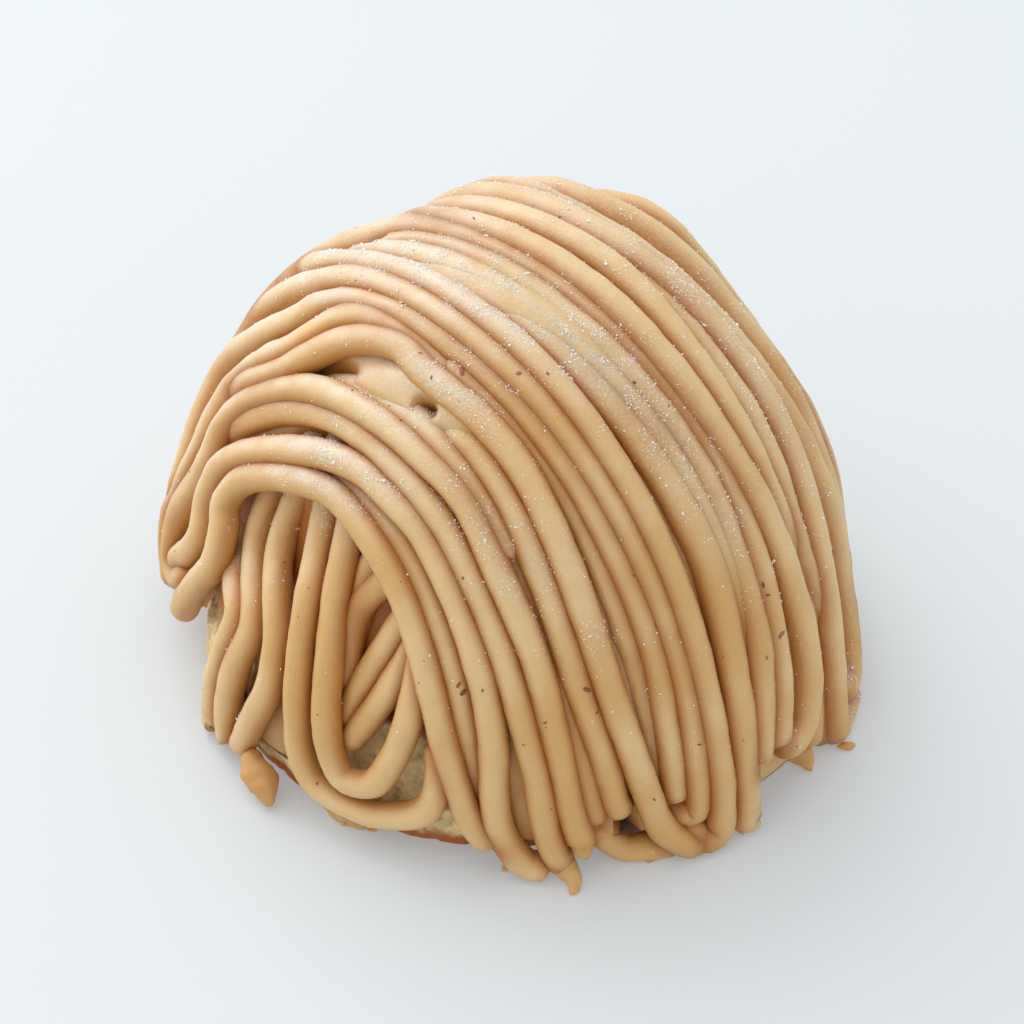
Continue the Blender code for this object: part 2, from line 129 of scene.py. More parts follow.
# Pits where the strands part and the inside shows, dark with shade and painted shade, in the same terms.
# Where the depth is below zero, the shell stands out.
PITS = (
    (-23, -31.2, 6.5, 2.2, 2.4), (1.0, -33.7, 2.0, 1.3, 4.5), (-19, -42.4, 8.5, 1.8, 2.8),
    (70, -62, 3.4, 2.2, 3.0), (-2, -70, 13, 10, -2.2),
)

# Where squeezed paste fills the space between strands: u, v, spread along u and v, and how full.
FILLS = (
    (8, -9, 30, 5, 1.0), (52, -14, 18, 4, 0.9), (0, -32.3, 17, 4.6, 1.0), (-32, -14, 12, 3, 0.6),
    (26, 26, 22, 3, 0.7),
)
# How deep the shell lies where it is full.
FILL_DEPTH = 1.2
# The room inside the shell stands off the sponge and the cream by this much.
CAVITY_GROW = 0.6 * MM
CAVITY_STEPS = 24
CAVITY_SIDES = 96

# How strands clear the filling, mm: the gap, how fast the filling narrows above the sponge, and the
# length of strand over which a push fades.
STRAND_CLEAR = 0.3
SHOULDER = 1.1
PUSH_SPREAD = 4.0

# How thick each piece's strands are, as shares of the strand radius that is set.
THICKNESS = {"crown_strands": 1.0, "front_strands": 0.88, "hanging_loops": 0.84, "back_strands": 0.95}
STRAND_SIDES = 20
# Vertices nearer than this are merged, in metres: at strands' ends, and at turned pieces' poles.
END_MERGE = 1e-7
POLE_MERGE = 1e-6
# Steps in each round end of a strand, and the radius of its last ring, mm.
END_STEPS = 5
END_RADIUS = 0.02
# Strands whose last end thins to a torn tip: the piece, the number, and over how many mm.
TAPERED = {("front_strands", 10): 3.0}
# How a strand's thickness wanders: pitch in mm, share, and the row of the noise that it reads.
WANDER = ((7.0, 1.0, 0), (2.6, 0.5, 5))
WANDER_ROW = 9.7
# Rough skins: noise of (pitch, height) in mm.
STRAND_SKIN = ((3.2, 0.11), (1.1, 0.05))
TORN_SKIN = ((1.8, 0.45), (0.7, 0.2))
CREAM_SKIN = ((9, 0.35), (3, 0.15))
# No paste lies nearer to the table than this, mm.
TABLE_CLEAR = 0.05

# Each strand is a route over the dome: knots of (u, v) or (u, v, sink), where sink is how many mm
# it lies below the dome's outer face.
CROWN = (
    ((-88, 42), (-64, 53), (-36, 48), (-12, 40), (6, 37, -1), (18, 41, -0.5), (32, 45),
     (50, 47, -0.5), (66, 51), (78, 51), (87, 47)),
    ((-91, 33), (-70, 43), (-46, 43), (-25, 37), (-8, 31, -0.5), (9, 33), (26, 38), (44, 42),
     (58, 44), (68, 41), (78, 38), (88, 38)),
    ((-93, 23), (-74, 33), (-52, 37), (-34, 32), (-18, 26, -0.5), (3, 24, 0.8), (27, 28, 1),
     (45, 31, 0.6), (60, 33), (73, 36), (85, 34), (91, 28), (91, 21)),
    ((-95, 13), (-76, 22), (-56, 28), (-38, 26), (-22, 22.5, -0.4), (-11, 20), (9, 18.5),
     (33, 20.5), (50, 21.5), (70, 16.5), (84, 13), (95, 14), (101, 20), (101, 28), (96, 32)),
    ((16, 16, 1.5), (30, 14.5, 1), (50, 14.5, 1), (66, 11, 1), (76, 12.5, 1.2), (86, 17, 2.2)),
    ((-95, 3), (-76, 11), (-58, 18), (-42, 18), (-24, 12), (0, 11), (18, 10.5), (32, 8), (46, 6.5),
     (58, 7, 0.8), (70, 10, 2)),
    ((-95, -7), (-78, 1), (-62, 9), (-46, 14), (-32, 12), (-16, 5), (10, 3), (38, 1), (60, 1),
     (80, 0.5), (88, -4), (90, -10), (88, -16)),
    ((-94, -17), (-78, -12), (-64, -7), (-50, -0.5, -0.2), (-42, 7, -0.3), (-29, 7),
     (-14, 2.5, 0.5), (4, 0, 1), (36, -1.5, 1.2), (50, -3, 1), (66, -7.5, 0.4), (80, -13),
     (87, -18)),
    ((-42, 3, 1.5), (-62, 1, 0.6), (-78, -5.5, 0.4), (-94, -12, 0.3)),
)
PRESSED = (
    ((-31, 3.5, 1.8), (-16, -1, 1.2), (14, -5, 1.2), (46, -7.5, 1), (60, -11.5, 0.5), (72, -16),
     (82, -22), (86, -25.5)),
    ((-33, -3, 1), (-14, -5.5, 1), (14, -9, 1.2), (46, -12, 1), (64, -16, 0.8), (79, -20, 1.5)),
    ((4, -11, 1.5), (30, -14, 1), (46, -16, 0.6), (58, -18.5, 0.2), (74, -25.5), (89, -31),
     (97, -33)),
)
FRONT = (
    ((-92, -25), (-79, -18), (-67, -12.5), (-59, -9.5), (-53.5, -4, -0.2), (-47.5, 1, -0.1),
     (-37.5, -4.3), (-31, -7.2), (-24, -9.5), (0, -15), (25, -20), (51, -26.5), (74, -34.5),
     (83, -37.5), (88, -41), (87, -46), (80, -49.5, 2)),
    ((-88, -31), (-76, -24), (-68, -18), (-61, -13), (-54, -6.8), (-44.5, -8.9), (-35, -11),
     (-24, -13), (0, -19), (28, -25, 0.3), (57, -33, 0.6), (77, -41.5, 0.8), (82, -46, 1),
     (77, -51, 1.6)),
    ((-83, -38.5), (-73, -31.5, -0.2), (-67, -22, -0.7), (-61, -15.5, -0.4), (-50, -17.7),
     (-38, -19.4), (-26, -18), (-2, -21.5, 0.5), (25, -27.5, 0.8), (52, -36, 1), (66, -43, 1.2),
     (77, -49, 1.4)),
    ((3, -25.5, 1.2), (30, -32, 1.8), (55, -42, 2), (74, -51, 2.8)),
    ((-82, -44, -0.2), (-77, -37, -0.4), (-71, -37), (-63, -35), (-55, -28), (-45, -26.5),
     (-33, -26), (-22, -21.5), (-12, -22.5, 0.3), (3, -27.5, 1.4)),
    ((-50, -27.5, 0.5), (-42, -30), (-33, -30.5), (-20, -26), (-9, -25.5), (0, -29), (13, -31.5),
     (25, -35.5), (46, -46.5), (56, -51), (67, -54), (76, -55), (84, -50.5), (89, -46, 0.5)),
    ((3.5, -34.8, 2.6), (9, -35.2, 1.2), (14, -36.3, 0.8), (25, -41, 0.6), (46, -53, 0.6),
     (57, -58, 0.5), (63, -61, 0.6), (67.5, -61, 1.2)),
    ((6, -37.5, 2), (19, -43.5, 2), (40, -55, 1.8), (58, -64.5, 0.8), (61.5, -68, 1.5)),
    ((-26, -32.5, 3.2), (-14, -33.5, 1.9), (0, -36.3, 1.2), (12, -40, 0.6), (26, -46, 1)),
    ((-64, -55.5), (-70.5, -52.5), (-75.5, -47.5), (-75.5, -43), (-71, -41), (-66, -41),
     (-60, -39, 0.5), (-49, -34.5), (-36, -34), (-20, -35.5), (3, -40.5), (14.5, -43.5),
     (25, -49.5), (35.5, -55), (46, -62.5), (55, -69), (61, -72)),
    ((-55, -34, 1.5), (-41, -36.6, 0.8), (-29, -37.3, 0.8), (-12, -40.2, 0.5), (9, -47, 0.2),
     (20, -52.5, 0.2), (30, -58.5, 0.2), (38, -64), (46, -70), (52, -75.5), (58, -78.3),
     (60.5, -79.5)),
    ((-75, -46.5, 0.6), (-67.5, -50.5), (-60, -52.7), (-54, -52), (-53.2, -47), (-47.5, -43.4),
     (-32, -44.4), (-10, -45.6), (-1, -47.7), (9, -51), (20, -57.5), (29, -64.5), (35, -72),
     (38, -78), (42, -82.5), (49, -84), (57, -81.5)),
    ((-15, -47.5, 2), (-3, -51, 1.6), (8, -56, 1.4), (19, -63.5, 1.2), (27, -71.5, 1.2),
     (36.5, -83.5, 2.5)),
    ((-69, -58.7), (-61, -59.7), (-52.5, -60), (-46.3, -59.2), (-43.8, -54.5), (-43.8, -50),
     (-37, -48), (-23.5, -49), (-12, -50.5), (-1, -55), (9, -61), (18, -69.5), (23, -75), (29, -81),
     (36, -85), (42, -85)),
    ((60, -70, 2.4), (71, -66.5, 2), (79, -61, 1.5), (86, -54, 1)),
)
LOOPS = (
    ((-59, -44, 4.4), (-59, -49, 4.4), (-56, -54.5, 4.2), (-53, -59.5, 3.8), (-50.5, -64, 3.4)),
    ((-48, -45.5, 4), (-50.5, -48, 4), (-48, -54.5, 3.4), (-42, -63, 1.6), (-37, -69, 0.5),
     (-42.5, -74.5), (-49, -79.5), (-53, -84.5), (-53.5, -88)),
    ((-37.5, -48, 4), (-40, -54, 3.6), (-39, -59, 3), (-36, -64, 2.2), (-32, -71, 0.8), (-37, -77),
     (-41.5, -81.5), (-44, -86), (-43.5, -89)),
    ((-25, -41.5, 3.4), (-27, -47, 4), (-30, -55, 3.6), (-29.5, -61, 2.8), (-26, -67, 1.6),
     (-23, -74, 0.6), (-25, -81), (-31.5, -85.5), (-38.5, -89.5)),
    ((-18.5, -42, 3.4), (-18.5, -48, 3.8), (-17.5, -58, 3), (-15, -67, 1), (-15, -76, 0.4),
     (-14.5, -84), (-13.5, -89.5), (-8, -93.5), (5.5, -94.5), (15, -92.5), (22, -89), (25, -84),
     (22.5, -77.5, 1)),
    ((-12, -43.5, 3.4), (-10.5, -50, 3.6), (-9, -63, 2), (-7.5, -73, 0.9), (-5.5, -84), (-1.5, -90),
     (4, -90.5), (9.5, -88.5), (13, -83.5, 0.1), (14.5, -79.5, 0.3), (15, -74, 0.8),
     (14.5, -69.5, 1.4), (14, -66.5, 2.2)),
    ((-3, -59, 3.6), (-4, -66, 3.4), (-7.5, -76, 4.2)),
    ((4, -57, 3), (2, -60, 3), (-3.5, -65.5, 3), (-5.5, -72, 3.2), (-6, -80, 3.6)),
    ((10, -61, 3.4), (7, -65.5, 3.4), (4, -71, 3.2), (0, -77, 3.2), (-6, -84.5, 3.6)),
    ((14, -62, 3), (12, -67, 2.8), (9.5, -72.5, 2.4), (4.5, -80, 2.3), (-2.5, -87, 2.8)),
)

# Squeezed strands that fill the space between the others on the right and over the top.
BETWEEN = (
    ((-34, 52, 1.4), (-14, 47.5, 1.2), (6, 45, 1.2), (22, 48, 1.3), (40, 51, 1.5), (56, 53.5, 1.7)),
    ((58, 15, 1.8), (74, 8, 1.6), (88, 5, 1.6), (97, 4, 1.6)),
    ((66, 26, 1.8), (80, 27, 1.6), (92, 24, 1.8)),
    ((66, 46, 1.6), (80, 44, 1.5), (95, 42, 1.5)),
    ((82, 9, 1.7), (94, 11, 1.5), (99, 14, 1.5)),
)

# The far side, which repeats the front's way of piping: passes joined by hairpins, over loops.
# Of the passes: how many, the first one's v and the pitch to the next, how much further round they
# lie at their ends (the first one, and more for each next), where they turn, and their knots.
BACK_PASSES = 4
BACK_FIRST = 54.0
BACK_PITCH = 6.3
BACK_SAG = (5.0, 1.5)
BACK_FOOT = 95.0
BACK_KNOTS = (-1, -0.8, -0.4, 0, 0.4, 0.8, 1)
# Of the loops: how many, the pitch, half a loop's width, where it starts and turns, and how many mm
# it is sunk at its top, side and turn.
BACK_LOOPS = 5
BACK_LOOP_PITCH = 18.0
BACK_LOOP_HALF = 5.6
BACK_LOOP_TOP = 74.0
BACK_LOOP_FOOT = 93.0
BACK_LOOP_SINKS = (3.5, 0.8, 0.0)
# How far their knots stray on the map.
UNEVEN = 1.1
BACK_SEED = 7

# How near two strands paint shade on each other, mm, how dark it is, and how sharply.
CREVICE_REACH = 1.5
CREVICE_DARK = 0.9
CREVICE_SHARP = 1.7
# A strand paints shade on itself only past this many radii of its own length.
OWN_STRETCH = 3
# How much squeezed paste lightens the painted shade of crevices, and how much of the sugar crevices lose.
FILL_LIGHTENS = 0.85
CREVICE_CLEAN = 0.8
# Where icing sugar lies thickest: map u, v, spread along u and v, and how thick.
SUGAR = (
    (18, -10, 26, 5, 1.0), (20, 23, 30, 7, 0.55), (-28, -3, 18, 8, 0.45), (0, -31, 9, 5, 0.9),
    (30, -46, 15, 5, 0.5), (-9, -47, 10, 4, 0.55), (100, 22, 7, 7, 1.3), (-34, -83, 5, 4, 0.9),
    (-18, -50, 7, 4, 0.6), (0, 0, 70, 55, 0.05), (60, 45, 30, 20, 0.08),
)
SUGAR_SEED = 5
# How far apart the sugar clumps, mm.
SUGAR_CLUMPS = 2.2
# A grain: an octahedron's corners and faces, how much grains' sizes and proportions vary.
GRAIN = (((1, 0, 0), (-1, 0, 0), (0, 1, 0), (0, -1, 0), (0, 0, 1), (0, 0, -1)),
         ((0, 2, 4), (2, 1, 4), (1, 3, 4), (3, 0, 4), (2, 0, 5), (1, 2, 5), (3, 1, 5), (0, 3, 5)))
GRAIN_SPREAD = 0.35
GRAIN_SCALES = (0.7, 1.3)
# Where the crests are palest, from the finest sugar and a painted sheen: map u, v, spreads and how pale.
SUGAR_AND_SHEEN = (
    (-30, -20, 26, 26, 0.85), (0, 2, 40, 14, 0.15), (40, 20, 60, 40, 0.1), (-45, -60, 26, 24, 0.55),
    (-16, -38, 24, 9, 0.7), (25, -17, 26, 6, 0.6),
)
# The way that those crests face: towards the lights, for the painted sheen.
SHEEN_SIDE = Vector((-0.32, 0.45, 0.83))
# Places where the paste is oilier and more yellow: map u, v, spread and how strong.
AMBER = (
    (-26, -24.6, 1.3, 0.9), (-31.3, -26.2, 1.5, 1.0), (14.5, -16.3, 1.2, 0.8),
    (-28.6, -25.2, 1.2, 0.9), (-22.5, -2.5, 0.9, 0.8), (1.7, 0.5, 1.0, 0.6),
    (-20.5, -23.6, 1.3, 0.7),
)
# Bits of chestnut skin in the paste: map u, v, length in mm and how red, from 0 (dark) to 1.
SKINS = (
    (4.7, -25.9, 1.25, 0.75), (14.0, -22.0, 0.65, 0.9), (18.1, -19.2, 0.5, 0.9),
    (72.4, -10.1, 1.0, 1.0), (53.5, -35.0, 0.75, 0.6), (64.9, -9.4, 0.8, 0.1),
    (66.5, -9.4, 0.6, 0.2), (69.0, 5.9, 0.8, 0.2), (73.3, 6.0, 0.7, 0.3), (80.2, 19.7, 0.7, 0.8),
    (89.8, 32.2, 0.8, 0.1), (72.4, -16.7, 0.6, 1.0), (71.9, -39.4, 0.55, 0.1),
    (42.5, -61.6, 0.65, 0.5), (69.0, -53.9, 0.5, 0.1), (24.1, -67.0, 0.8, 0.7),
    (25.4, -67.6, 0.9, 0.1), (47.6, -52.5, 1.1, 0.35), (-3.0, -26.5, 0.5, 0.6),
    (1.0, -29.6, 0.5, 0.3), (-46.2, -15.7, 0.45, 0.4), (-35.9, 12.8, 0.5, 0.7),
    (-8.9, 3.2, 0.5, 0.8), (46.0, -33.0, 0.45, 0.6), (58.0, -47.0, 0.4, 0.3),
    (30.0, -8.0, 0.45, 0.4), (48.0, 2.0, 0.45, 0.5), (61.0, -25.0, 0.5, 0.6),
)
SKIN_SEED = 31
# How far from the top, on the map, small bits of skin lie.
SKIN_REACH = 97
# Their length in mm, and half the width and the thickness of every bit as shares of its length.
SMALL_SKIN = (0.16, 0.42)
SKIN_WIDTH = (0.16, 0.34)
SKIN_THICK = 0.09
SKIN_PROUD = 0.01 * MM
# The depths in mm between which the outermost strand is looked for.
SKIN_SEARCH = (-6, 9)
# Torn bits of paste at the foot: x, y, height of the middle, length, width in mm, turn in degrees.
TORN = (
    (-0.8, -34.8, 0.5, 1.6, 0.9, 40), (-17.7, -28.3, 0.8, 2.0, 0.9, 30),
    (-16.6, -28.7, 0.6, 1.6, 0.8, -20), (-15.2, -29.2, 0.4, 1.4, 0.7, 0),
    (18.7, -32.6, 0.7, 1.6, 0.8, 40), (14.9, -33.3, 0.4, 2.4, 0.7, 10),
    (24.8, -29.2, 0.7, 1.9, 1.0, 60), (36.1, -16.9, 0.5, 2.2, 0.8, 10),
    (-38.3, 8.7, 4.4, 1.9, 0.8, 20),
)
# Torn tips that hang on to the strands: points of (x, y, z, radius) in mm.
DRIPS = (
    ((-28.4, -21.8, 3.4, 1.2), (-27.8, -23.0, 2.7, 1.7), (-27.1, -24.4, 2.0, 1.6),
     (-26.4, -25.8, 1.3, 0.8)),
    ((5.0, -34.6, 1.9, 1.45), (5.7, -36.0, 1.5, 1.3), (6.0, -37.0, 1.0, 0.9),
     (6.3, -37.8, 0.6, 0.55)),
    ((7.0, -34.9, 5.0, 1.4), (7.3, -35.3, 4.0, 1.1), (7.5, -35.5, 3.4, 0.6)),
    ((-20.6, -25.6, 1.4, 0.7), (-19.2, -26.8, 1.3, 1.0), (-17.8, -27.9, 1.2, 0.9),
     (-16.4, -28.9, 0.8, 0.5)),
    ((29.6, -17.6, 2.2, 1.6), (30.8, -18.9, 1.7, 1.5), (31.8, -20.0, 1.1, 1.0),
     (32.3, -20.7, 0.7, 0.5)),
)

# Rings for each point of a torn tip, and how far its round ends reach, in radii.
DRIP_RINGS = 4
DRIP_END = 0.8
# How torn paste looks: how brown it is, how much browner the lump at the left is, and where in mm
# the lump ends, and the rest of what a finish of paste reads.
TORN_SHADE = 0.1
LUMP_SHADE = 0.25
LUMP_EDGE = -20
TORN_MARKS = {"crest": 0.55, "sugar_and_sheen": 0.0, "sugar": 0.0, "amber": 0.25}

# The stage, which takes the image to be square.
TABLE_SIZE = 4.0
WORLD_COLOUR = (0.93, 0.97, 1.0, 1.0)
WORLD_STRENGTH = 0.81
# The middle of the view, how high the camera stands in degrees, how far off, and its lens in mm.
VIEW_TARGET = Vector((-0.3, -5.6, 25.0)) * MM
VIEW_ELEVATION = 44
VIEW_DISTANCE = 0.5
VIEW_LENS = 164.0
VIEW_SENSOR = 36.0
VIEW_CLIP = 0.05
# Soft lights round that middle: name, azimuth and elevation in degrees, size in metres, watts.
LIGHTS = (("window_light", -145, 46, 0.7, 3.3), ("overhead_light", -60, 78, 0.9, 1.8),
          ("side_light", -105, 22, 0.8, 1.7))
LIGHT_DISTANCE = 0.9


def srgb(red, green, blue):
    """A colour picked on a 0 to 255 scale, in the linear light that Blender reckons with."""
    return tuple(((part / 255 + 0.055) / 1.055) ** 2.4 if part > 10 else part / 255 / 12.92
                 for part in (red, green, blue))


def colour_setting(name, description, default):
    """A colour that a user can set."""
    return bpy.props.FloatVectorProperty(name=name, description=description, subtype="COLOR",
                                         size=3, min=0.0, max=1.0, default=default)


class DessertSizes(bpy.types.PropertyGroup):
    """Sizes of the strands and of what lies on them."""

    strand_radius: bpy.props.FloatProperty(
        name="Strand radius", description="Half the thickness of a piped strand",
        default=1.9 * MM, unit="LENGTH")
    strand_step: bpy.props.FloatProperty(
        name="Strand step", description="Length of strand between two of its rings",
        default=0.9 * MM, unit="LENGTH")
    strand_uneven: bpy.props.FloatProperty(
        name="Unevenness", description="How much a strand's thickness wanders, as a share of it",
        default=0.05, subtype="FACTOR", min=0.0, max=0.5)
    sugar_grains: bpy.props.IntProperty(
        name="Sugar grains", description="How many grains of icing sugar lie on the strands",
        default=13000, min=0)
    grain_size: bpy.props.FloatProperty(
        name="Grain size", description="Size of a typical grain of sugar",
        default=0.13 * MM, unit="LENGTH")
    small_skins: bpy.props.IntProperty(
        name="Small skin bits", description="How many small bits of chestnut skin are scattered",
        default=110, min=0)


class DessertColours(bpy.types.PropertyGroup):
    """Colours of the food and of the table under it."""

    paste: colour_setting("Chestnut cream", "The paste where light falls on it", srgb(226, 193, 140))
    # Painted shade on the strands' sides.
    paste_shaded_side: colour_setting("Sides of strands", "The paste on the strands' sides", srgb(193, 134, 68))
    paste_warm: colour_setting("Warm paste", "The paste where it is moister", srgb(212, 167, 102))
    # Painted shade where strands meet and in the shell's pits and hollows.
    crevice_shade: colour_setting("Crevices", "The paste where two strands meet", srgb(174, 103, 42))
    amber: colour_setting("Amber spots", "Spots where the paste is oily", srgb(234, 184, 84))
    sugar: colour_setting("Icing sugar", "The sugar", srgb(250, 248, 244))
    # Fine sugar, and a painted sheen where crests face the lights.
    dust_and_sheen: colour_setting("Pale film", "Crests that are dry or hold fine sugar", srgb(240, 233, 220))
    skin_dark: colour_setting("Dark skin", "The darkest bits of chestnut skin", srgb(116, 68, 44))
    skin_red: colour_setting("Red skin", "The reddest bits of chestnut skin", srgb(184, 92, 52))
    crumb: colour_setting("Sponge crumb", "The open crumb of the sponge", srgb(255, 228, 168))
    # Also the painted shade in the sponge's pores, darker, and in a band below its top.
    crust_and_shade: colour_setting("Sponge crust", "The sponge where the oven browned it", srgb(172, 100, 44))
    cream: colour_setting("Whipped cream", "The cream", srgb(246, 240, 228))
    table: colour_setting("Table", "The plain surface under the dessert", srgb(180, 184, 186))


class Wire:
    """The output of a material's node, on which Python arithmetic adds Math nodes."""

    def __init__(self, finish, socket):
        self.finish = finish
        self.socket = socket

    def math(self, operation, *values, clamp=False):
        """A Math node on some values or wires."""
        return self.finish.node("ShaderNodeMath", {"operation": operation, "use_clamp": clamp},
                                dict(enumerate(values)))

    def __add__(self, other):
        return self.math("ADD", self, other)

    __radd__ = __add__

    def __sub__(self, other):
        return self.math("SUBTRACT", self, other)

    def __rsub__(self, other):
        return self.math("SUBTRACT", other, self)

    def __mul__(self, other):
        return self.math("MULTIPLY", self, other)

    __rmul__ = __mul__

    def clamped(self):
        """Held between 0 and 1."""
        return self.math("ADD", self, 0.0, clamp=True)

    def between(self, low, high):
        """0 below low, 1 above high, and smooth in between."""
        return self.finish.node("ShaderNodeMapRange", {"interpolation_type": "SMOOTHSTEP"},
                                {"Value": self, "From Min": low, "From Max": high})


class Finish:
    """A material under construction, with one Principled shader."""

    def __init__(self, name, **values):
        self.material = bpy.data.materials.new(name)
        self.material.use_nodes = True
        self.tree = self.material.node_tree
        self.shader = self.tree.nodes["Principled BSDF"]
        for socket, value in values.items():
            self.shader.inputs[self.label(socket)].default_value = value
        self.place = self.node("ShaderNodeTexCoord", output="Object")

    @staticmethod
    def label(socket):
        """A socket's name as Blender writes it."""
        return socket.replace("_", " ").title().replace("Ior", "IOR")

    def node(self, kind, settings=None, inputs=None, output=0):
        """Add a node, set it, then give its sockets their values or links."""
        made = self.tree.nodes.new(kind)
        for setting, value in (settings or {}).items():
            setattr(made, setting, value)
        for socket, value in (inputs or {}).items():
            if isinstance(value, Wire):
                self.tree.links.new(value.socket, made.inputs[socket])
            else:
                made.inputs[socket].default_value = value
        return Wire(self, made.outputs[output])

    def attribute(self, name):
        """A number kept on the mesh, vertex by vertex."""
        return self.node("ShaderNodeAttribute", {"attribute_name": name}, output="Fac")

    def noise(self, pitch, detail=2.0, roughness=0.5):
        """A cloudy pattern whose patches are about pitch metres apart, from 0 to 1."""
        return self.node("ShaderNodeTexNoise", inputs={
            "Vector": self.place, "Scale": 1 / pitch, "Detail": detail, "Roughness": roughness})

    def cells(self, pitch):
        """Distance to the nearest of scattered points, in pitches."""
        return self.node("ShaderNodeTexVoronoi", inputs={"Vector": self.place, "Scale": 1 / pitch})

    def mix(self, share, first, second):
        """A blend of two colours, each a wire or a plain colour."""
        first, second = (c if isinstance(c, Wire) else (*c, 1.0) for c in (first, second))
        return self.node("ShaderNodeMix", {"data_type": "RGBA"}, {0: share, 6: first, 7: second}, output=2)

    def bump(self, height, depth, below=None):
        """A bump of the given depth in metres, laid over another."""
        inputs = {"Height": height, "Distance": depth, "Strength": 1.0}
        if below:
            inputs["Normal"] = below
        return self.node("ShaderNodeBump", inputs=inputs)

    def feed(self, **links):
        """Link wires to the shader's sockets and hand over the material."""
        for socket, wire in links.items():
            self.tree.links.new(wire.socket, self.shader.inputs[self.label(socket)])
        return self.material


def darker(colour, share):
    """A share of a colour's light."""
    return tuple(part * share for part in colour)


def paste_finish(colours, name="chestnut_cream"):
    """Chestnut cream: satin, a little see-through, sugared, with painted shade on its sides and in its
    crevices.
    """
    made = Finish(name, subsurface_weight=0.3, subsurface_scale=1.2 * MM,
                  subsurface_radius=(1.0, 0.42, 0.15), specular_ior_level=0.4, coat_roughness=0.32)
    broad = made.noise(14 * MM)
    fine = made.noise(1.6 * MM, 4.0)
    grain = made.noise(0.42 * MM, 3.0, 0.6)
    crevice_shade = (made.attribute("crevice_shade") + (fine - 0.5) * 0.12).clamped()
    colour = made.mix(broad.between(0.35, 0.7), colours.paste, colours.paste_warm)
    # Painted shade on the strands' sides; the crests that face outwards keep the lit paste.
    colour = made.mix(made.attribute("crest") * 0.85 + 0.15, colours.paste_shaded_side, colour)
    colour = made.mix((fine - 0.35).clamped() * 0.25, colour, colours.paste_warm)
    colour = made.mix(made.attribute("amber").clamped() * 0.6, colour, colours.amber)
    # Painted shade where strands meet and in the shell's deep places.
    colour = made.mix(crevice_shade, colour, colours.crevice_shade)
    sugar = made.attribute("sugar")
    dusting = (sugar * made.noise(0.3 * MM, 3.0, 0.7).between(0.48, 0.62)).clamped()
    # A pale film of fine sugar, and a painted sheen on crests that face the lights.
    dust_and_sheen = (sugar * 0.25 + made.attribute("sugar_and_sheen") * 0.5) * made.noise(2.5 * MM, 3.0).between(0.0, 0.7)
    colour = made.mix(dust_and_sheen.clamped(), colour, colours.dust_and_sheen)
    colour = made.mix(dusting * 0.45, colour, colours.sugar)
    height = made.bump(fine, 0.13 * MM)
    height = made.bump(grain, 0.08 * MM, height)
    height = made.bump(dusting, 0.06 * MM, height)
    return made.feed(base_color=colour, roughness=(0.42 + grain * 0.14 + dusting * 0.4).clamped(),
                     coat_weight=(made.attribute("sugar_and_sheen") * 0.7 + 0.08).clamped(), normal=height)


def sponge_finish(colours):
    """Sponge: pale open crumb, browned where the oven's browning is left, with painted shade in its pores
    and below its top.
    """
    made = Finish("sponge", subsurface_weight=0.3, subsurface_scale=1.0 * MM, roughness=0.85)
    patches = made.noise(3.0 * MM, 4.0, 0.6)
    crust_and_shade = (made.attribute("crust_and_shade") + (patches - 0.5) * 0.9).between(0.3, 0.75)
    pores = made.attribute("pore")
    colour = made.mix(patches.between(0.35, 0.7), colours.crumb, darker(colours.crumb, 0.72))
    # Painted shade in the pores: dark brown, darkest in the deepest pores.
    colour = made.mix(pores.clamped() * 0.6, colour, darker(colours.crust_and_shade, 0.45))
    colour = made.mix(crust_and_shade, colour, colours.crust_and_shade)
    height = made.bump(made.cells(0.7 * MM), 0.25 * MM)
    height = made.bump(made.noise(0.3 * MM, 3.0), 0.06 * MM, height)
    return made.feed(base_color=colour, normal=height)


def cream_finish(colours):
    """Whipped cream: white, soft and satin."""
    made = Finish("whipped_cream", subsurface_weight=0.5, subsurface_scale=2 * MM, roughness=0.45)
    cloudy = made.noise(5 * MM, 3.0)
    colour = made.mix(cloudy.between(0.4, 0.7), colours.cream, darker(colours.cream, 0.93))
    return made.feed(base_color=colour, normal=made.bump(made.noise(1.2 * MM, 3.0), 0.08 * MM))


def skin_finish(colours):
    """Chestnut skin: dark to red-brown, shiny."""
    made = Finish("chestnut_skin", roughness=0.4)
    colour = made.mix(made.attribute("redness").clamped(), colours.skin_dark, colours.skin_red)
    colour = made.mix(made.noise(0.3 * MM, 3.0).between(0.45, 0.7), colour, colours.skin_dark)
    return made.feed(base_color=colour)


def sugar_finish(colours):
    """Icing sugar: white and glittering."""
    made = Finish("icing_sugar", roughness=0.5, specular_ior_level=0.3)
    cloudy = made.noise(0.5 * MM)
    colour = made.mix(cloudy.between(0.4, 0.7), colours.sugar, darker(colours.sugar, 0.93))
    return made.feed(base_color=colour)


def table_finish(colours):
    """The plain pale table, which glows a little: painted light that lifts the shadows on it."""
    made = Finish("table", roughness=0.55, emission_strength=0.24, emission_color=(0.96, 0.99, 1.0, 1.0))
    cloudy = made.noise(300 * MM)
    colour = made.mix(cloudy.between(0.3, 0.7), colours.table, darker(colours.table, 0.985))
    return made.feed(base_color=colour)


def swell(u, v):
    """How far the dome stands out beyond the plain ellipsoid at a place on the map, mm."""
    return sum(rise * math.exp(-((u - cu) ** 2 + (v - cv) ** 2) / (2 * spread ** 2))
               for cu, cv, spread, rise in SWELLS)


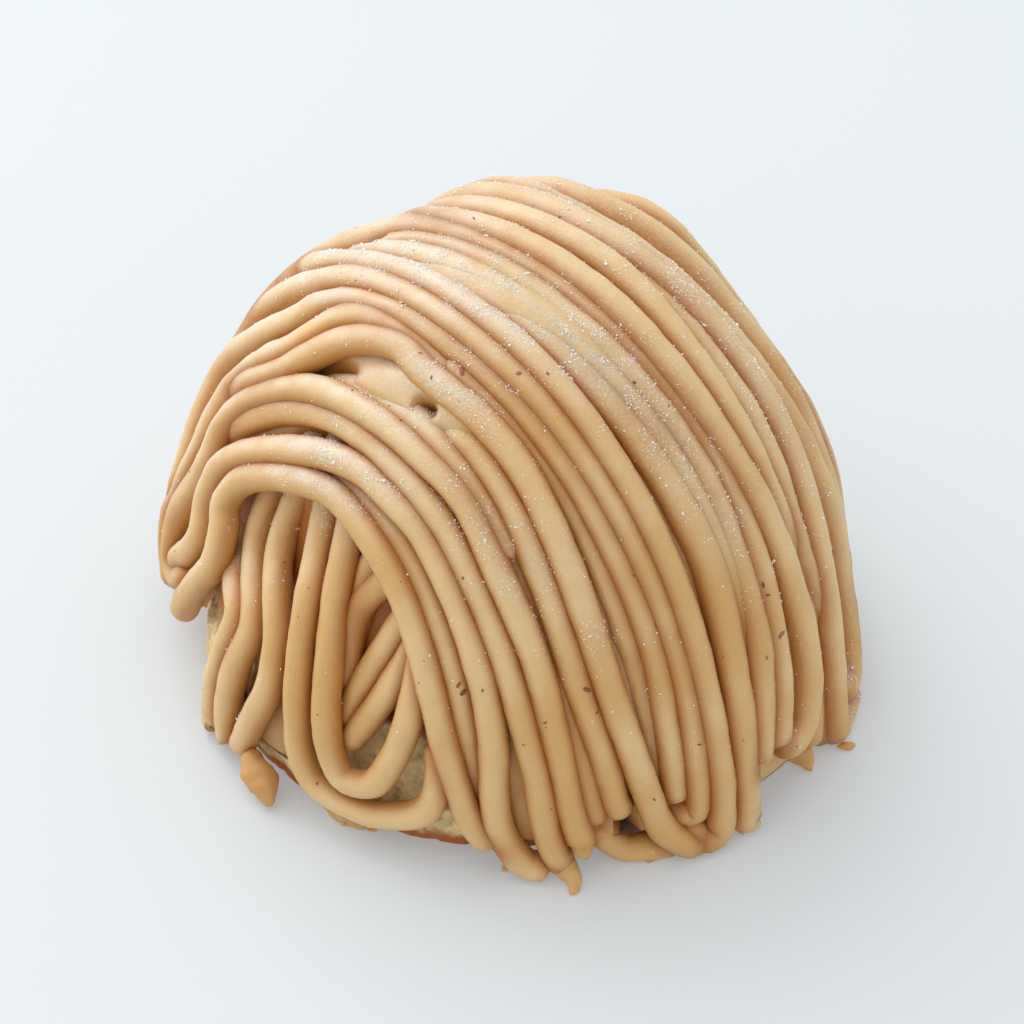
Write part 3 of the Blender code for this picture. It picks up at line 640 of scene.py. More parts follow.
def on_dome(u, v, depth):
    """The point, in mm, that lies depth mm below the dome's outer face at a place on the map."""
    slope = math.hypot(u, v) / MAP_REACH * math.pi / 2
    around = math.atan2(v, u)
    inset = depth - swell(u, v)
    along = math.sin(slope) * math.cos(around) * (HALF_LENGTH - inset)
    across = math.sin(slope) * math.sin(around) * (HALF_WIDTH - inset)
    up = math.cos(slope)
    x = along * math.cos(HEADING) - across * math.sin(HEADING) + up * APEX_SHIFT.x
    y = along * math.sin(HEADING) + across * math.cos(HEADING) + up * APEX_SHIFT.y
    return Vector((x, y, up * (HEIGHT - inset)))


def on_map(points, inset):
    """The map places (u, v) of many points in mm that lie about inset mm below the dome's face."""
    up = np.clip(points[:, 2] / (HEIGHT - inset), -1, 1)
    x = points[:, 0] - up * APEX_SHIFT.x
    y = points[:, 1] - up * APEX_SHIFT.y
    along = (x * math.cos(HEADING) + y * math.sin(HEADING)) / (HALF_LENGTH - inset)
    across = (-x * math.sin(HEADING) + y * math.cos(HEADING)) / (HALF_WIDTH - inset)
    reach = np.arctan2(np.hypot(along, across), up) / (math.pi / 2) * MAP_REACH
    around = np.arctan2(across, along)
    return reach * np.cos(around), reach * np.sin(around)


def zones(u, v, places):
    """How thick something lies at many map places, from zones of (u, v, spreads, amount)."""
    total = np.zeros_like(u)
    for cu, cv, spread_u, spread_v, amount in places:
        total += amount * np.exp(-(((u - cu) / spread_u) ** 2 + ((v - cv) / spread_v) ** 2) / 2)
    return total


def plateaus(u, v, places):
    """The same at one place, from zones that are flat in the middle and steep at their edges."""
    return sum(amount * math.exp(-(((u - cu) / spread_u) ** 2 + ((v - cv) / spread_v) ** 2) ** 2)
               for cu, cv, spread_u, spread_v, amount in places)


def fill_share(u, v):
    """How far squeezed paste fills the space between strands at a map place, 0 to 1."""
    return min(1.0, plateaus(u, v, FILLS))


def shell_depth(u, v):
    """How deep the shell of squeezed strands lies at a place on the map, mm."""
    hollow = plateaus(u, v, HOLLOWS + PITS)
    return SHELL_DEPTH + hollow - (SHELL_DEPTH - FILL_DEPTH) * fill_share(u, v)


def sponge_reach(height):
    """How far out from its axis the sponge goes at a height, metres."""
    share = (height - SPONGE_STRAIGHT) / (SPONGE_HEIGHT - SPONGE_STRAIGHT)
    return SPONGE_RADIUS + (SPONGE_TOP_RADIUS - SPONGE_RADIUS) * min(1, max(0, share))


def push_out(point, radius):
    """How many mm a point has to move out from the sponge's axis for a strand to clear the filling."""
    low, high = SPONGE_HEIGHT / MM, CREAM_TOP / MM
    height = max(point.z, radius)
    above = max(0.0, height - low)
    share = min(1.0, above / (high - low))
    filling = max(sponge_reach(height * MM) / MM - above * SHOULDER,
                  CREAM_RADIUS / MM * math.sqrt(1 - share ** 2))
    reach = (point.to_2d() - SPONGE_CENTRE.to_2d() / MM).length
    return max(0.0, filling + radius + STRAND_CLEAR - reach) if share < 1.0 else 0.0


def smooth(knots, steps=24):
    """A smooth curve through knots of (u, v, sink), as closely spaced map places."""
    knots = [Vector((*knot, 0.0)[:3]) for knot in knots]
    knots = [2 * knots[0] - knots[1], *knots, 2 * knots[-1] - knots[-2]]
    places = []
    for before, start, end, after in zip(knots, knots[1:], knots[2:], knots[3:]):
        for step in range(steps):
            t = step / steps
            places.append(0.5 * (2 * start + (end - before) * t
                                 + (2 * before - 5 * start + 4 * end - after) * t ** 2
                                 + (3 * start - before - 3 * end + after) * t ** 3))
    return [*places, knots[-2]]


def evenly(points, step):
    """Points a step apart along a line of closely spaced ones."""
    lengths = np.concatenate([[0], np.cumsum([(b - a).length for a, b in zip(points, points[1:])])])
    count = max(4, round(lengths[-1] / step))
    stations = np.linspace(0, lengths[-1], count + 1)
    co = np.array([tuple(p) for p in points])
    return np.stack([np.interp(stations, lengths, co[:, axis]) for axis in range(3)], 1)


def back_strands():
    """The far side: one long strand in passes and hairpins, and loops hanging below it."""
    draw = random.Random(BACK_SEED)
    passes = []
    for number in range(BACK_PASSES):
        middle = BACK_FIRST + number * BACK_PITCH
        sag = BACK_SAG[0] + BACK_SAG[1] * number
        half_length = math.sqrt(BACK_FOOT ** 2 - (middle + sag) ** 2)
        knots = [(half_length * share, middle + sag * share ** 2 + draw.uniform(-UNEVEN, UNEVEN))
                 for share in BACK_KNOTS]
        passes.extend(reversed(knots) if number % 2 else knots)
    strands = [passes]
    top_sink, side_sink, turn_sink = BACK_LOOP_SINKS
    for number in range(BACK_LOOPS):
        u = (number - (BACK_LOOPS - 1) / 2) * BACK_LOOP_PITCH + draw.uniform(-UNEVEN, UNEVEN)
        top = math.sqrt(BACK_LOOP_TOP ** 2 - u ** 2)
        low = math.sqrt(BACK_LOOP_FOOT ** 2 - u ** 2)
        leg = [(0.7, top, top_sink), (1, (top + low) / 2, side_sink), (1, low - 2, turn_sink),
               (0.5, low + 0.5, turn_sink)]
        down = [(u - share * BACK_LOOP_HALF, v, sink) for share, v, sink in leg]
        back_up = [(u + share * BACK_LOOP_HALF, v, sink) for share, v, sink in reversed(leg)]
        strands.append(down + back_up)
    return strands


def strand_line(knots, radius, step):
    """The middle line of a strand in mm, as evenly spaced points."""
    points = evenly([on_dome(u, v, radius + sink) for u, v, sink in smooth(knots)], step)
    push = np.array([push_out(Vector(point), radius) for point in points])
    spread = max(1, round(PUSH_SPREAD / step))
    padded = np.pad(push, 2 * spread, mode="edge")
    window = np.exp(-(np.arange(-2 * spread, 2 * spread + 1) / spread) ** 2 / 2)
    push = np.convolve(padded, window / window.sum(), mode="valid")
    arms = points[:, :2] - np.array(SPONGE_CENTRE.to_2d()) / MM
    points[:, :2] += arms / np.linalg.norm(arms, axis=1)[:, None] * push[:, None]
    points[:, 2] = np.maximum(points[:, 2], radius)
    return points


def finish_piece(made, material, slot, *nodes):
    """Give a piece its material and its place in the frame."""
    made.data.materials.clear()
    made.data.materials.append(material)
    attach(made, BODY)
    if nodes:
        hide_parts(*nodes)
    return made


def deselect_all():
    """Nothing stays selected, so that the next operator acts on its own piece alone."""
    if bpy.context.object and bpy.context.object.mode != "OBJECT":
        bpy.ops.object.mode_set(mode="OBJECT")
    bpy.ops.object.select_all(action="DESELECT")


def select_only(*chosen):
    """Select some objects, the first of them active."""
    deselect_all()
    for one in chosen:
        one.select_set(True)
    bpy.context.view_layer.objects.active = chosen[0]


def vertices_of(made):
    """A mesh's vertices as an array, in mm."""
    co = np.empty(len(made.data.vertices) * 3)
    made.data.vertices.foreach_get("co", co)
    return co.reshape(-1, 3) / MM


def set_vertices(made, points):
    """Move a mesh's vertices to points in mm."""
    made.data.vertices.foreach_set("co", (points * MM).astype(np.float32).ravel())
    made.data.update()


def normals_of(made):
    """A mesh's vertex normals as an array."""
    normals = np.empty(len(made.data.vertices) * 3)
    made.data.vertices.foreach_get("normal", normals)
    return normals.reshape(-1, 3)


def keep_number(made, name, values):
    """Keep a number for each vertex, for the material to read."""
    kept = made.data.attributes.new(name, "FLOAT", "POINT")
    kept.data.foreach_set("value", np.asarray(values, np.float32))


def roughen(made, octaves):
    """Push each vertex along its normal by noise of (pitch mm, height mm)."""
    points, normals = vertices_of(made), normals_of(made)
    lift = [sum(height * noise.noise(Vector(point) / pitch) for pitch, height in octaves)
            for point in points]
    set_vertices(made, points + normals * np.array(lift)[:, None])


def clear_table(made):
    """Lift what lies too low clear of the table."""
    points = vertices_of(made)
    points[:, 2] = np.maximum(points[:, 2], TABLE_CLEAR)
    set_vertices(made, points)


def tube(name, points, radii):
    """A strand as a curve with a round bevel, from points in mm."""
    curve = bpy.data.curves.new(name, "CURVE")
    curve.dimensions = "3D"
    curve.bevel_depth = MM
    curve.bevel_resolution = (STRAND_SIDES - 4) // 2
    curve.use_fill_caps = True
    spline = curve.splines.new("POLY")
    spline.points.add(len(points) - 1)
    spline.points.foreach_set("co", np.c_[points * MM, np.ones(len(points))].astype(np.float32).ravel())
    spline.points.foreach_set("radius", np.asarray(radii, np.float32))
    made = bpy.data.objects.new(name, curve)
    bpy.context.scene.collection.objects.link(made)
    return made


def rounded_ends(points, radii, reach=1.0):
    """Add a round end before the first and after the last point of a strand."""
    for at, beyond in ((0, 1), (-1, -2)):
        ahead = points[at] - points[beyond]
        ahead /= np.linalg.norm(ahead)
        angles = [math.pi / 2 * step / END_STEPS for step in range(1, END_STEPS + 1)]
        more = [points[at] + ahead * radii[at] * reach * math.sin(angle) for angle in angles]
        sizes = [max(END_RADIUS, radii[at] * math.cos(angle)) for angle in angles]
        if at == 0:
            points = np.vstack([more[::-1], points])
            radii = np.concatenate([sizes[::-1], radii])
        else:
            points = np.vstack([points, more])
            radii = np.concatenate([radii, sizes])
    return points, radii


def join(name, parts):
    """Make curves and meshes one mesh object, its ends closed."""
    select_only(*parts)
    bpy.ops.object.convert(target="MESH")
    bpy.ops.object.join()
    bpy.ops.object.mode_set(mode="EDIT")
    bpy.ops.mesh.select_all(action="SELECT")
    bpy.ops.mesh.remove_doubles(threshold=END_MERGE)
    bpy.ops.object.mode_set(mode="OBJECT")
    made = bpy.context.object
    made.name = name
    made.data.name = name
    bpy.ops.object.shade_smooth()
    return made


def crevices(points, tree, owners, radius):
    """How deep each point lies between two strands, from 0 in the open to 1 where they meet."""
    values = np.zeros(len(points))
    for number, point in enumerate(points):
        near = [(distance - owners[index][2], *owners[index][:2])
                for _, index, distance in tree.find_range(Vector(point), radius + CREVICE_REACH)]
        if not near:
            continue
        _, own, place = min(near)
        gap = min([CREVICE_REACH, *(apart for apart, strand, station in near
                                    if strand != own or abs(station - place) > OWN_STRETCH * radius)])
        values[number] = 1 - max(gap, 0) / CREVICE_REACH
    return values


def held(values, slope=1.0, less=0.0):
    """Values times slope, less something, held between 0 and 1."""
    return np.clip(values * slope - less, 0, 1)


def mark_paste(made, tree, owners, radius, shade=0.0):
    """Keep on a piece of paste where it is creviced, how it faces, and what lies on it.

    The shade is painted shade added to that of the crevices, all over or for each vertex.
    """
    points, normals = vertices_of(made), normals_of(made)
    u, v = on_map(points, radius)
    # Open air is 1 but in the shell's deep places, which keep their painted shade bare of sugar, sheen and
    # filling.
    open_air = 1 - held(shade - SHELL_SHADE, 2)
    fill = np.array([fill_share(*place) for place in zip(u, v)]) * open_air
    # Painted shade where strands meet, with the shell's painted shade added.
    crevice_shade = held(CREVICE_DARK * crevices(points, tree, owners, radius) ** CREVICE_SHARP + shade)
    keep_number(made, "crevice_shade", crevice_shade * (1 - FILL_LIGHTENS * fill))
    outward = points / np.array(((HALF_LENGTH + HALF_WIDTH) / 2,) * 2 + (HEIGHT,)) ** 2
    outward /= np.linalg.norm(outward, axis=1)[:, None]
    # Crests that face outwards get the lit paste, the other faces the sides' painted shade.
    keep_number(made, "crest", held((outward * normals).sum(axis=1), 1.7, 0.6))
    # Painted sheen with fine sugar, on crests that face the lights.
    open_to_light = held(normals @ np.array(SHEEN_SIDE), 1.5, 0.4) * (1 - crevice_shade)
    keep_number(made, "sugar_and_sheen", held(zones(u, v, SUGAR_AND_SHEEN)) * open_to_light * open_air)
    facing_up = held(normals[:, 2], 1.5, 0.1) * open_air
    keep_number(made, "sugar", held(zones(u, v, SUGAR)) * facing_up * (1 - crevice_shade * CREVICE_CLEAN))
    keep_number(made, "amber", zones(u, v, [(cu, cv, spread, spread, a) for cu, cv, spread, a in AMBER]))


def strand_groups():
    """The strands' routes, by the piece that they belong to."""
    return {"crown_strands": CROWN + PRESSED, "front_strands": FRONT, "hanging_loops": LOOPS,
            "back_strands": [*back_strands(), *BETWEEN]}


def strand_lines(sizes):
    """Every strand's middle line in mm, by piece."""
    radius, step = sizes.strand_radius / MM, sizes.strand_step / MM
    return {name: [strand_line(knots, radius * THICKNESS[name], step) for knots in routes]
            for name, routes in strand_groups().items()}


def line_tree(lines, radius, step):
    """A tree of the points of all strands, and each point's strand, length along it and radius."""
    strands = [(line, radius * THICKNESS[name]) for name, group in lines.items() for line in group]
    owners = [(number, station * step, thickness)
              for number, (line, thickness) in enumerate(strands) for station in range(len(line))]
    tree = KDTree(len(owners))
    for index, point in enumerate(np.vstack([line for line, _ in strands])):
        tree.insert(Vector(point), index)
    tree.balance()
    return tree, owners


def turned(name, profile, sides):
    """A solid turned about the sponge's axis from a profile of (radius, height) in metres."""
    mesh = bpy.data.meshes.new(name)
    made = bpy.data.objects.new(name, mesh)
    bpy.context.scene.collection.objects.link(made)
    outline = [SPONGE_CENTRE + Vector((radius, 0.0, height)) for radius, height in profile]
    mesh.from_pydata(outline, [(i, i + 1) for i in range(len(outline) - 1)], [])
    select_only(made)
    bpy.ops.object.mode_set(mode="EDIT")
    bpy.ops.mesh.select_all(action="SELECT")
    bpy.ops.mesh.spin(steps=sides, angle=2 * math.pi, center=SPONGE_CENTRE, axis=(0, 0, 1))
    bpy.ops.mesh.select_all(action="SELECT")
    bpy.ops.mesh.remove_doubles(threshold=POLE_MERGE)
    bpy.ops.mesh.normals_make_consistent(inside=False)
    bpy.ops.object.mode_set(mode="OBJECT")
    bpy.ops.object.shade_smooth()
    return made


def arc(radius, foot, rise, steps):
    """A quarter of an oval as a profile, from its foot up to just short of its top."""
    angles = [math.pi / 2 * step / steps for step in range(steps)]
    return [(radius * math.cos(angle), foot + rise * math.sin(angle)) for angle in angles]


def sponge_profile():
    """The sponge's outline, from the middle of its underside to the middle of its top, metres."""
    sides = [SPONGE_CORNER / 2 + (SPONGE_HEIGHT - SPONGE_CORNER * 1.5) * row / SPONGE_ROWS
             for row in range(SPONGE_ROWS + 1)]
    top = SPONGE_TOP_RADIUS - SPONGE_CORNER
    return [(0, 0), *((SPONGE_RADIUS * spoke / SPONGE_SPOKES, 0) for spoke in range(1, SPONGE_SPOKES)),
            *((sponge_reach(height), height) for height in sides),
            *((top * (1 - spoke / SPONGE_SPOKES), SPONGE_HEIGHT) for spoke in range(SPONGE_SPOKES + 1))]


def sponge_bulge(points):
    """How far the sponge stands out at each point, mm."""
    heading, spread, height, rise, out = SPONGE_BULGE
    x, y = points[:, 0] - SPONGE_CENTRE.x / MM, points[:, 1]
    around = np.degrees(np.arctan2(y, x)) % 360
    bulge = out * np.exp(-((around - heading) / spread) ** 2 - ((points[:, 2] - height) / rise) ** 2)
    return bulge * (np.hypot(x, y) > SPONGE_CORE)


def crumb(spot):
    """How deep in a pore a spot of the sponge lies, from 0 to 1, and how many mm it rises."""
    large, small = (max(0.0, 1 - noise.voronoi(spot / pitch)[0][0] / size)
                    for pitch, size, _ in (LARGE_PORES, SMALL_PORES))
    hole = large * (noise.noise(spot / PORE_PATCHES[0]) + PORE_PATCHES[1])
    little = small * SMALL_PORE_SHARE
    wave = CRUMB_WAVES[1] * noise.noise(spot / CRUMB_WAVES[0])
    return min(1.0, hole + little), wave - LARGE_PORES[2] * hole - SMALL_PORES[2] * little


class DESSERT_OT_sponge(bpy.types.Operator):
    """Make the sponge base, with its open crumb and browned crust"""

    bl_idname = "dessert.sponge"
    bl_label = "Sponge"

    def execute(self, context):
        made = turned("sponge", sponge_profile(), SPONGE_SIDES)
        points, normals = vertices_of(made), normals_of(made)
        pores, lifts = zip(*(crumb(Vector(point)) for point in points))
        points[:, :2] += normals[:, :2] * sponge_bulge(points)[:, None]
        calm_underside = np.clip(points[:, 2] / 1.5, 0.15, 1)
        set_vertices(made, points + normals * (np.array(lifts) * calm_underside)[:, None])
        # Browned at the foot, and in a band below the top, which is partly painted shade under the
        # strands.
        foot = np.clip(1.2 - points[:, 2] / CRUST_FOOT, 0, 1)
        top = np.clip((points[:, 2] - SPONGE_HEIGHT / MM + CRUST_TOP) / 2.5, 0, 1)
        keep_number(made, "crust_and_shade", np.maximum(foot, top))
        keep_number(made, "pore", pores)
        finish_piece(made, sponge_finish(context.scene.dessert_colours), "sponge", "sponge_base")
        return {"FINISHED"}


class DESSERT_OT_whipped_cream(bpy.types.Operator):
    """Make the dome of whipped cream on the sponge"""

    bl_idname = "dessert.whipped_cream"
    bl_label = "Whipped Cream"

    def execute(self, context):
        dome = arc(CREAM_RADIUS, CREAM_FOOT, CREAM_TOP - CREAM_FOOT, CREAM_STEPS)
        under = [(0, CREAM_FOOT), (CREAM_RADIUS * 0.5, CREAM_FOOT)]
        made = turned("cream", [*under, *dome, (0, CREAM_TOP)], CREAM_SIDES)
        roughen(made, CREAM_SKIN)
        finish_piece(made, cream_finish(context.scene.dessert_colours), "whipped_cream", "whipped_cream")
        return {"FINISHED"}


def wander(number, count, step):
    """How a strand's thickness wanders from ring to ring, about -1 to 1."""
    return np.array([sum(amount * noise.noise(Vector((station * step / pitch, number * WANDER_ROW, row)))
                         for pitch, amount, row in WANDER) for station in range(count)])


class DESSERT_OT_strands(bpy.types.Operator):
    """Make the piped strands of chestnut cream and the shell of squeezed ones below them"""

    bl_idname = "dessert.strands"
    bl_label = "Strands"

    def shell(self, context, tree, owners, radius):
        """The shell below the strands, with room inside for the sponge and the cream."""
        deselect_all()
        bpy.ops.mesh.primitive_uv_sphere_add(segments=SHELL_SEGMENTS, ring_count=SHELL_RINGS, radius=1.0)
        made = context.object
        made.name = "pressed_strands"
        mesh = bmesh.new()
        mesh.from_mesh(made.data)
        lower = [vertex for vertex in mesh.verts if vertex.co.z < -0.001]
        bmesh.ops.delete(mesh, geom=lower, context="VERTS")
        rim = [edge for edge in mesh.edges if edge.is_boundary]
        bmesh.ops.contextual_create(mesh, geom=rim)
        for vertex in mesh.verts:
            reach = math.acos(max(-1, min(1, vertex.co.z))) / (math.pi / 2) * MAP_REACH
            around = math.atan2(vertex.co.y, vertex.co.x)
            u, v = reach * math.cos(around), reach * math.sin(around)
            point = on_dome(u, v, shell_depth(u, v))
            point.z = max(point.z, SHELL_FOOT)
            vertex.co = point * MM
        mesh.to_mesh(made.data)
        mesh.free()
        wide, top = SPONGE_RADIUS + CAVITY_GROW, SPONGE_TOP_RADIUS + CAVITY_GROW
        rise = CREAM_TOP + CAVITY_GROW - CREAM_FOOT
        dome = arc(CREAM_RADIUS + CAVITY_GROW, CREAM_FOOT, rise, CAVITY_STEPS)
        room = turned("room", [(0, -CAVITY_GROW), (wide, -CAVITY_GROW), (wide, SPONGE_STRAIGHT),
                               (top, CREAM_FOOT), *dome, (0, CREAM_FOOT + rise)], CAVITY_SIDES)
        cut = made.modifiers.new("room", "BOOLEAN")
        cut.operation = "DIFFERENCE"
        cut.solver = "MANIFOLD"
        cut.object = room
        select_only(made)
        bpy.ops.object.modifier_apply(modifier="room")
        bpy.data.objects.remove(room)
        bpy.ops.object.shade_smooth_by_angle(angle=math.radians(50))
        # The shell takes painted shade, more for each mm that it lies deeper, so that its pits and hollows
        # read dark.
        places = zip(*on_map(vertices_of(made), SHELL_DEPTH))
        deep = [shell_depth(*place) - SHELL_DEPTH for place in places]
        mark_paste(made, tree, owners, radius, SHELL_SHADE + SHELL_SHADE_STEP * np.maximum(deep, 0))
        return made

    def execute(self, context):
        sizes = context.scene.dessert_sizes
        radius, step = sizes.strand_radius / MM, sizes.strand_step / MM
        lines = strand_lines(sizes)
        tree, owners = line_tree(lines, radius, step)
        material = paste_finish(context.scene.dessert_colours)
        for name, group in lines.items():
            parts = []
            for number, line in enumerate(group):
                left = (len(line) - 1 - np.arange(len(line))) * step
                taper = np.clip(left / TAPERED.get((name, number), step), 0.25, 1) ** 0.7
                uneven = 1 + sizes.strand_uneven * wander(number, len(line), step)
                radii = radius * THICKNESS[name] * taper * uneven
                parts.append(tube(f"{name}_{number}", *rounded_ends(line, radii)))
            made = join(name, parts)
            roughen(made, STRAND_SKIN)
            clear_table(made)
            mark_paste(made, tree, owners, radius)
            finish_piece(made, material, "chestnut_cream", "chestnut_cream")
        shell = self.shell(context, tree, owners, radius)
        finish_piece(shell, material, "chestnut_cream", "chestnut_cream")
        return {"FINISHED"}


class DESSERT_OT_torn_paste(bpy.types.Operator):
    """Make the smeared lump and the torn bits of paste at the foot"""

    bl_idname = "dessert.torn_paste"
    bl_label = "Torn Paste"

    def execute(self, context):
        parts = []
        for drip in DRIPS:
            stations = np.linspace(0, len(drip) - 1, DRIP_RINGS * len(drip))
            *route, sizes = (np.interp(stations, range(len(drip)), column) for column in zip(*drip))
            parts.append(tube("drip", *rounded_ends(np.stack(route, 1), sizes, DRIP_END)))
        for x, y, z, length, width, turn in TORN:
            deselect_all()
            bpy.ops.mesh.primitive_ico_sphere_add(subdivisions=3, radius=1.0)
            bit = context.object
            bit.data.transform(Matrix.Diagonal((length / 2 * MM, width / 2 * MM, width / 2 * MM, 1)))
            bit.data.transform(Matrix.Rotation(math.radians(turn), 4, "Z"))
            bit.data.transform(Matrix.Translation(Vector((x, y, z)) * MM))
            parts.append(bit)
        made = join("torn_paste", parts)
        roughen(made, TORN_SKIN)
        clear_table(made)
        x = vertices_of(made)[:, 0]
        keep_number(made, "crevice_shade", TORN_SHADE + LUMP_SHADE * (x < LUMP_EDGE))
        for name, amount in TORN_MARKS.items():
            keep_number(made, name, np.full(len(x), amount))
        finish_piece(made, paste_finish(context.scene.dessert_colours, "torn_cream"), "chestnut_cream")
        return {"FINISHED"}


def surface_tree():
    """A tree of the strands' faces, for finding what lies uppermost, in metres."""
    vertices, faces = [], []
    for name in THICKNESS:
        data = bpy.data.objects[name].data
        start = len(vertices)
        vertices.extend(vertex.co.copy() for vertex in data.vertices)
        faces.extend([start + index for index in face.vertices] for face in data.polygons)
    return BVHTree.FromPolygons(vertices, faces)


def corners_of(made):
    """The corners of a mesh's triangles as an array, in mm."""
    made.data.calc_loop_triangles()
    index = np.empty(len(made.data.loop_triangles) * 3, np.int32)
    made.data.loop_triangles.foreach_get("vertices", index)
    return vertices_of(made)[index.reshape(-1, 3)]


def scatter(name, seeds, shape, material, slot):
    """One mesh of many copies of a small shape, from (place, turn, scales, number to keep)."""
    corners, triangles = shape
    corners = np.array(corners, float)
    points, kept = [], []
    for place, turn, scales, number in seeds:
        local = (corners * np.array(scales)) @ np.array(turn).T
        points.append(local + np.array(place))
        kept.extend([number] * len(corners))
    count = len(corners)
    faces = [tuple(index + count * copy for index in face)
             for copy in range(len(seeds)) for face in triangles]
    data = bpy.data.meshes.new(name)
    data.from_pydata(np.vstack(points).tolist(), [], faces)
    made = bpy.data.objects.new(name, data)
    bpy.context.scene.collection.objects.link(made)
    return finish_piece(made, material, slot), kept


def small_shape(subdivisions):
    """Corners and faces of a small round shape of radius 1."""
    mesh = bmesh.new()
    bmesh.ops.create_icosphere(mesh, subdivisions=subdivisions, radius=1.0)
    corners = [tuple(vertex.co) for vertex in mesh.verts]
    faces = [tuple(vertex.index for vertex in face.verts) for face in mesh.faces]
    mesh.free()
    return corners, faces


class DESSERT_OT_skins(bpy.types.Operator):
    """Scatter the bits of chestnut skin that are in the paste"""

    bl_idname = "dessert.skins"
    bl_label = "Chestnut Skins"

    def execute(self, context):
        draw = random.Random(SKIN_SEED)
        tree = surface_tree()
        bits = list(SKINS)
        for _ in range(context.scene.dessert_sizes.small_skins):
            reach = SKIN_REACH * math.sqrt(draw.random())
            around = draw.uniform(0, 2 * math.pi)
            bits.append((reach * math.cos(around), reach * math.sin(around),
                         draw.uniform(*SMALL_SKIN), draw.random()))
        seeds = []
        for u, v, length, redness in bits:
            outside, inside = (on_dome(u, v, depth) * MM for depth in SKIN_SEARCH)
            place, normal, _, _ = tree.ray_cast(outside, (inside - outside).normalized())
            if place is None or (inside - outside).length < (place - outside).length:
                continue
            spin = Matrix.Rotation(draw.uniform(0, 3.1), 3, "Z")
            turn = normal.to_track_quat("Z", "Y").to_matrix() @ spin
            scales = (length / 2 * MM, length * draw.uniform(*SKIN_WIDTH) * MM, length * SKIN_THICK * MM)
            seeds.append((place + normal * SKIN_PROUD, turn, scales, redness))
        material = skin_finish(context.scene.dessert_colours)
        made, redness = scatter("chestnut_skins", seeds, small_shape(2), material, "chestnut_cream")
        keep_number(made, "redness", redness)
        made.data.shade_smooth()
        return {"FINISHED"}


class DESSERT_OT_icing_sugar(bpy.types.Operator):
    """Dust the strands with grains of icing sugar"""

    bl_idname = "dessert.icing_sugar"
    bl_label = "Icing Sugar"

    def execute(self, context):
        sizes = context.scene.dessert_sizes
        draw = np.random.default_rng(SUGAR_SEED)
        corners = np.concatenate([corners_of(bpy.data.objects[name]) for name in THICKNESS])
        cross = np.cross(corners[:, 1] - corners[:, 0], corners[:, 2] - corners[:, 0])
        area = np.linalg.norm(cross, axis=1) / 2 + 1e-12
        normals = cross / (2 * area)[:, None]
        middles = corners.mean(axis=1)
        u, v = on_map(middles, sizes.strand_radius / MM)
        clumps = np.array([max(0.0, noise.noise(Vector(middle) / SUGAR_CLUMPS) + 0.1)
                           for middle in middles])
        weight = area * zones(u, v, SUGAR) * np.clip(normals[:, 2] + 0.05, 0, 1) * clumps
        chosen = draw.choice(len(weight), size=sizes.sugar_grains, p=weight / weight.sum())
        shares = draw.dirichlet((1, 1, 1), size=len(chosen))
        places = (corners[chosen] * shares[:, :, None]).sum(axis=1)
        seeds = []
        for place, face in zip(places, chosen):
            size = sizes.grain_size / 2 * float(draw.lognormal(0, GRAIN_SPREAD))
            turn = Matrix.Rotation(draw.uniform(0, 6.3), 3, Vector(draw.normal(size=3)).normalized())
            scales = size * draw.uniform(*GRAIN_SCALES, size=3)
            seeds.append((place * MM + normals[face] * size * 0.5, turn, scales, 0.0))
        material = sugar_finish(context.scene.dessert_colours)
        scatter("icing_sugar", seeds, GRAIN, material, "chestnut_cream")
        return {"FINISHED"}


def direction(azimuth, elevation):
    """The way to a place seen from the middle, its angles in degrees; azimuth 0 is the front."""
    azimuth, elevation = math.radians(azimuth), math.radians(elevation)
    return Vector((math.sin(azimuth) * math.cos(elevation), -math.cos(azimuth) * math.cos(elevation),
                   math.sin(elevation)))


def look_at_middle(name, data, way, distance):
    """Put a lamp or a camera at a distance from the middle of the view, turned towards it."""
    made = bpy.data.objects.new(name, data)
    made.location = VIEW_TARGET + way * distance
    made.rotation_euler = (-way).to_track_quat("-Z", "Y").to_euler()
    bpy.context.scene.collection.objects.link(made)
    return made


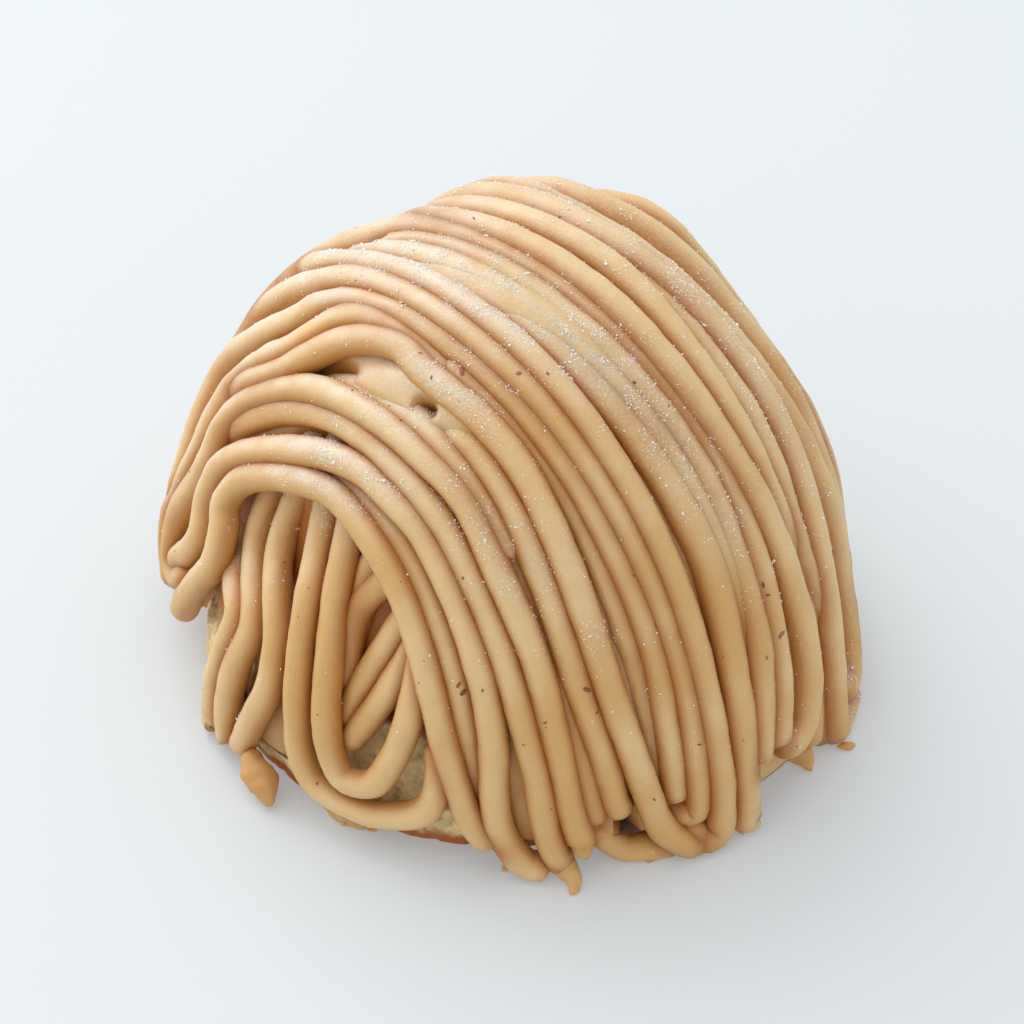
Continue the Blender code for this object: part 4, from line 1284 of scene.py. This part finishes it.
class DESSERT_OT_stage(bpy.types.Operator):
    """Make the plain table, the soft light and the camera"""

    bl_idname = "dessert.stage"
    bl_label = "Stage"

    def execute(self, context):
        deselect_all()
        bpy.ops.mesh.primitive_plane_add(size=TABLE_SIZE)
        table = context.object
        table.name = "table"
        table.data.materials.append(table_finish(context.scene.dessert_colours))
        world = context.scene.world or bpy.data.worlds.new("room")
        context.scene.world = world
        world.use_nodes = True
        background = world.node_tree.nodes["Background"]
        background.inputs["Color"].default_value = WORLD_COLOUR
        background.inputs["Strength"].default_value = WORLD_STRENGTH
        for name, azimuth, elevation, size, power in LIGHTS:
            lamp = bpy.data.lights.new(name, "AREA")
            lamp.shape = "DISK"
            lamp.size = size
            lamp.energy = power
            look_at_middle(name, lamp, direction(azimuth, elevation), LIGHT_DISTANCE)
        camera = bpy.data.cameras.new("camera")
        camera.lens = VIEW_LENS
        camera.sensor_width = VIEW_SENSOR
        camera.clip_start = VIEW_CLIP
        view = look_at_middle("camera", camera, direction(0, VIEW_ELEVATION), VIEW_DISTANCE)
        context.scene.camera = view
        context.scene.view_settings.view_transform = "Standard"
        return {"FINISHED"}


OPERATORS = (DESSERT_OT_sponge, DESSERT_OT_whipped_cream, DESSERT_OT_strands, DESSERT_OT_torn_paste,
             DESSERT_OT_skins, DESSERT_OT_icing_sugar, DESSERT_OT_stage)


class DESSERT_PT_panel(bpy.types.Panel):
    """Sidebar panel with the dessert's settings and its steps"""

    bl_idname = "DESSERT_PT_panel"
    bl_label = "Mont Blanc"
    bl_space_type = "VIEW_3D"
    bl_region_type = "UI"
    bl_category = "Mont Blanc"

    def draw(self, context):
        for settings in (context.scene.dessert_sizes, context.scene.dessert_colours):
            box = self.layout.box()
            for name in settings.__annotations__:
                box.prop(settings, name)
        for operator in OPERATORS:
            self.layout.operator(operator.bl_idname)


CLASSES = (DessertSizes, DessertColours, *OPERATORS, DESSERT_PT_panel)


def register():
    for one in CLASSES:
        bpy.utils.register_class(one)
    bpy.types.Scene.dessert_sizes = bpy.props.PointerProperty(type=DessertSizes)
    bpy.types.Scene.dessert_colours = bpy.props.PointerProperty(type=DessertColours)


def unregister():
    del bpy.types.Scene.dessert_colours
    del bpy.types.Scene.dessert_sizes
    for one in reversed(CLASSES):
        bpy.utils.unregister_class(one)


def main():
    """Make the dessert and its stage."""
    register()
    bpy.ops.dessert.sponge()
    bpy.ops.dessert.whipped_cream()
    bpy.ops.dessert.strands()
    bpy.ops.dessert.torn_paste()
    bpy.ops.dessert.skins()
    bpy.ops.dessert.icing_sugar()
    bpy.ops.dessert.stage()


if __name__ == "__main__":
    main()
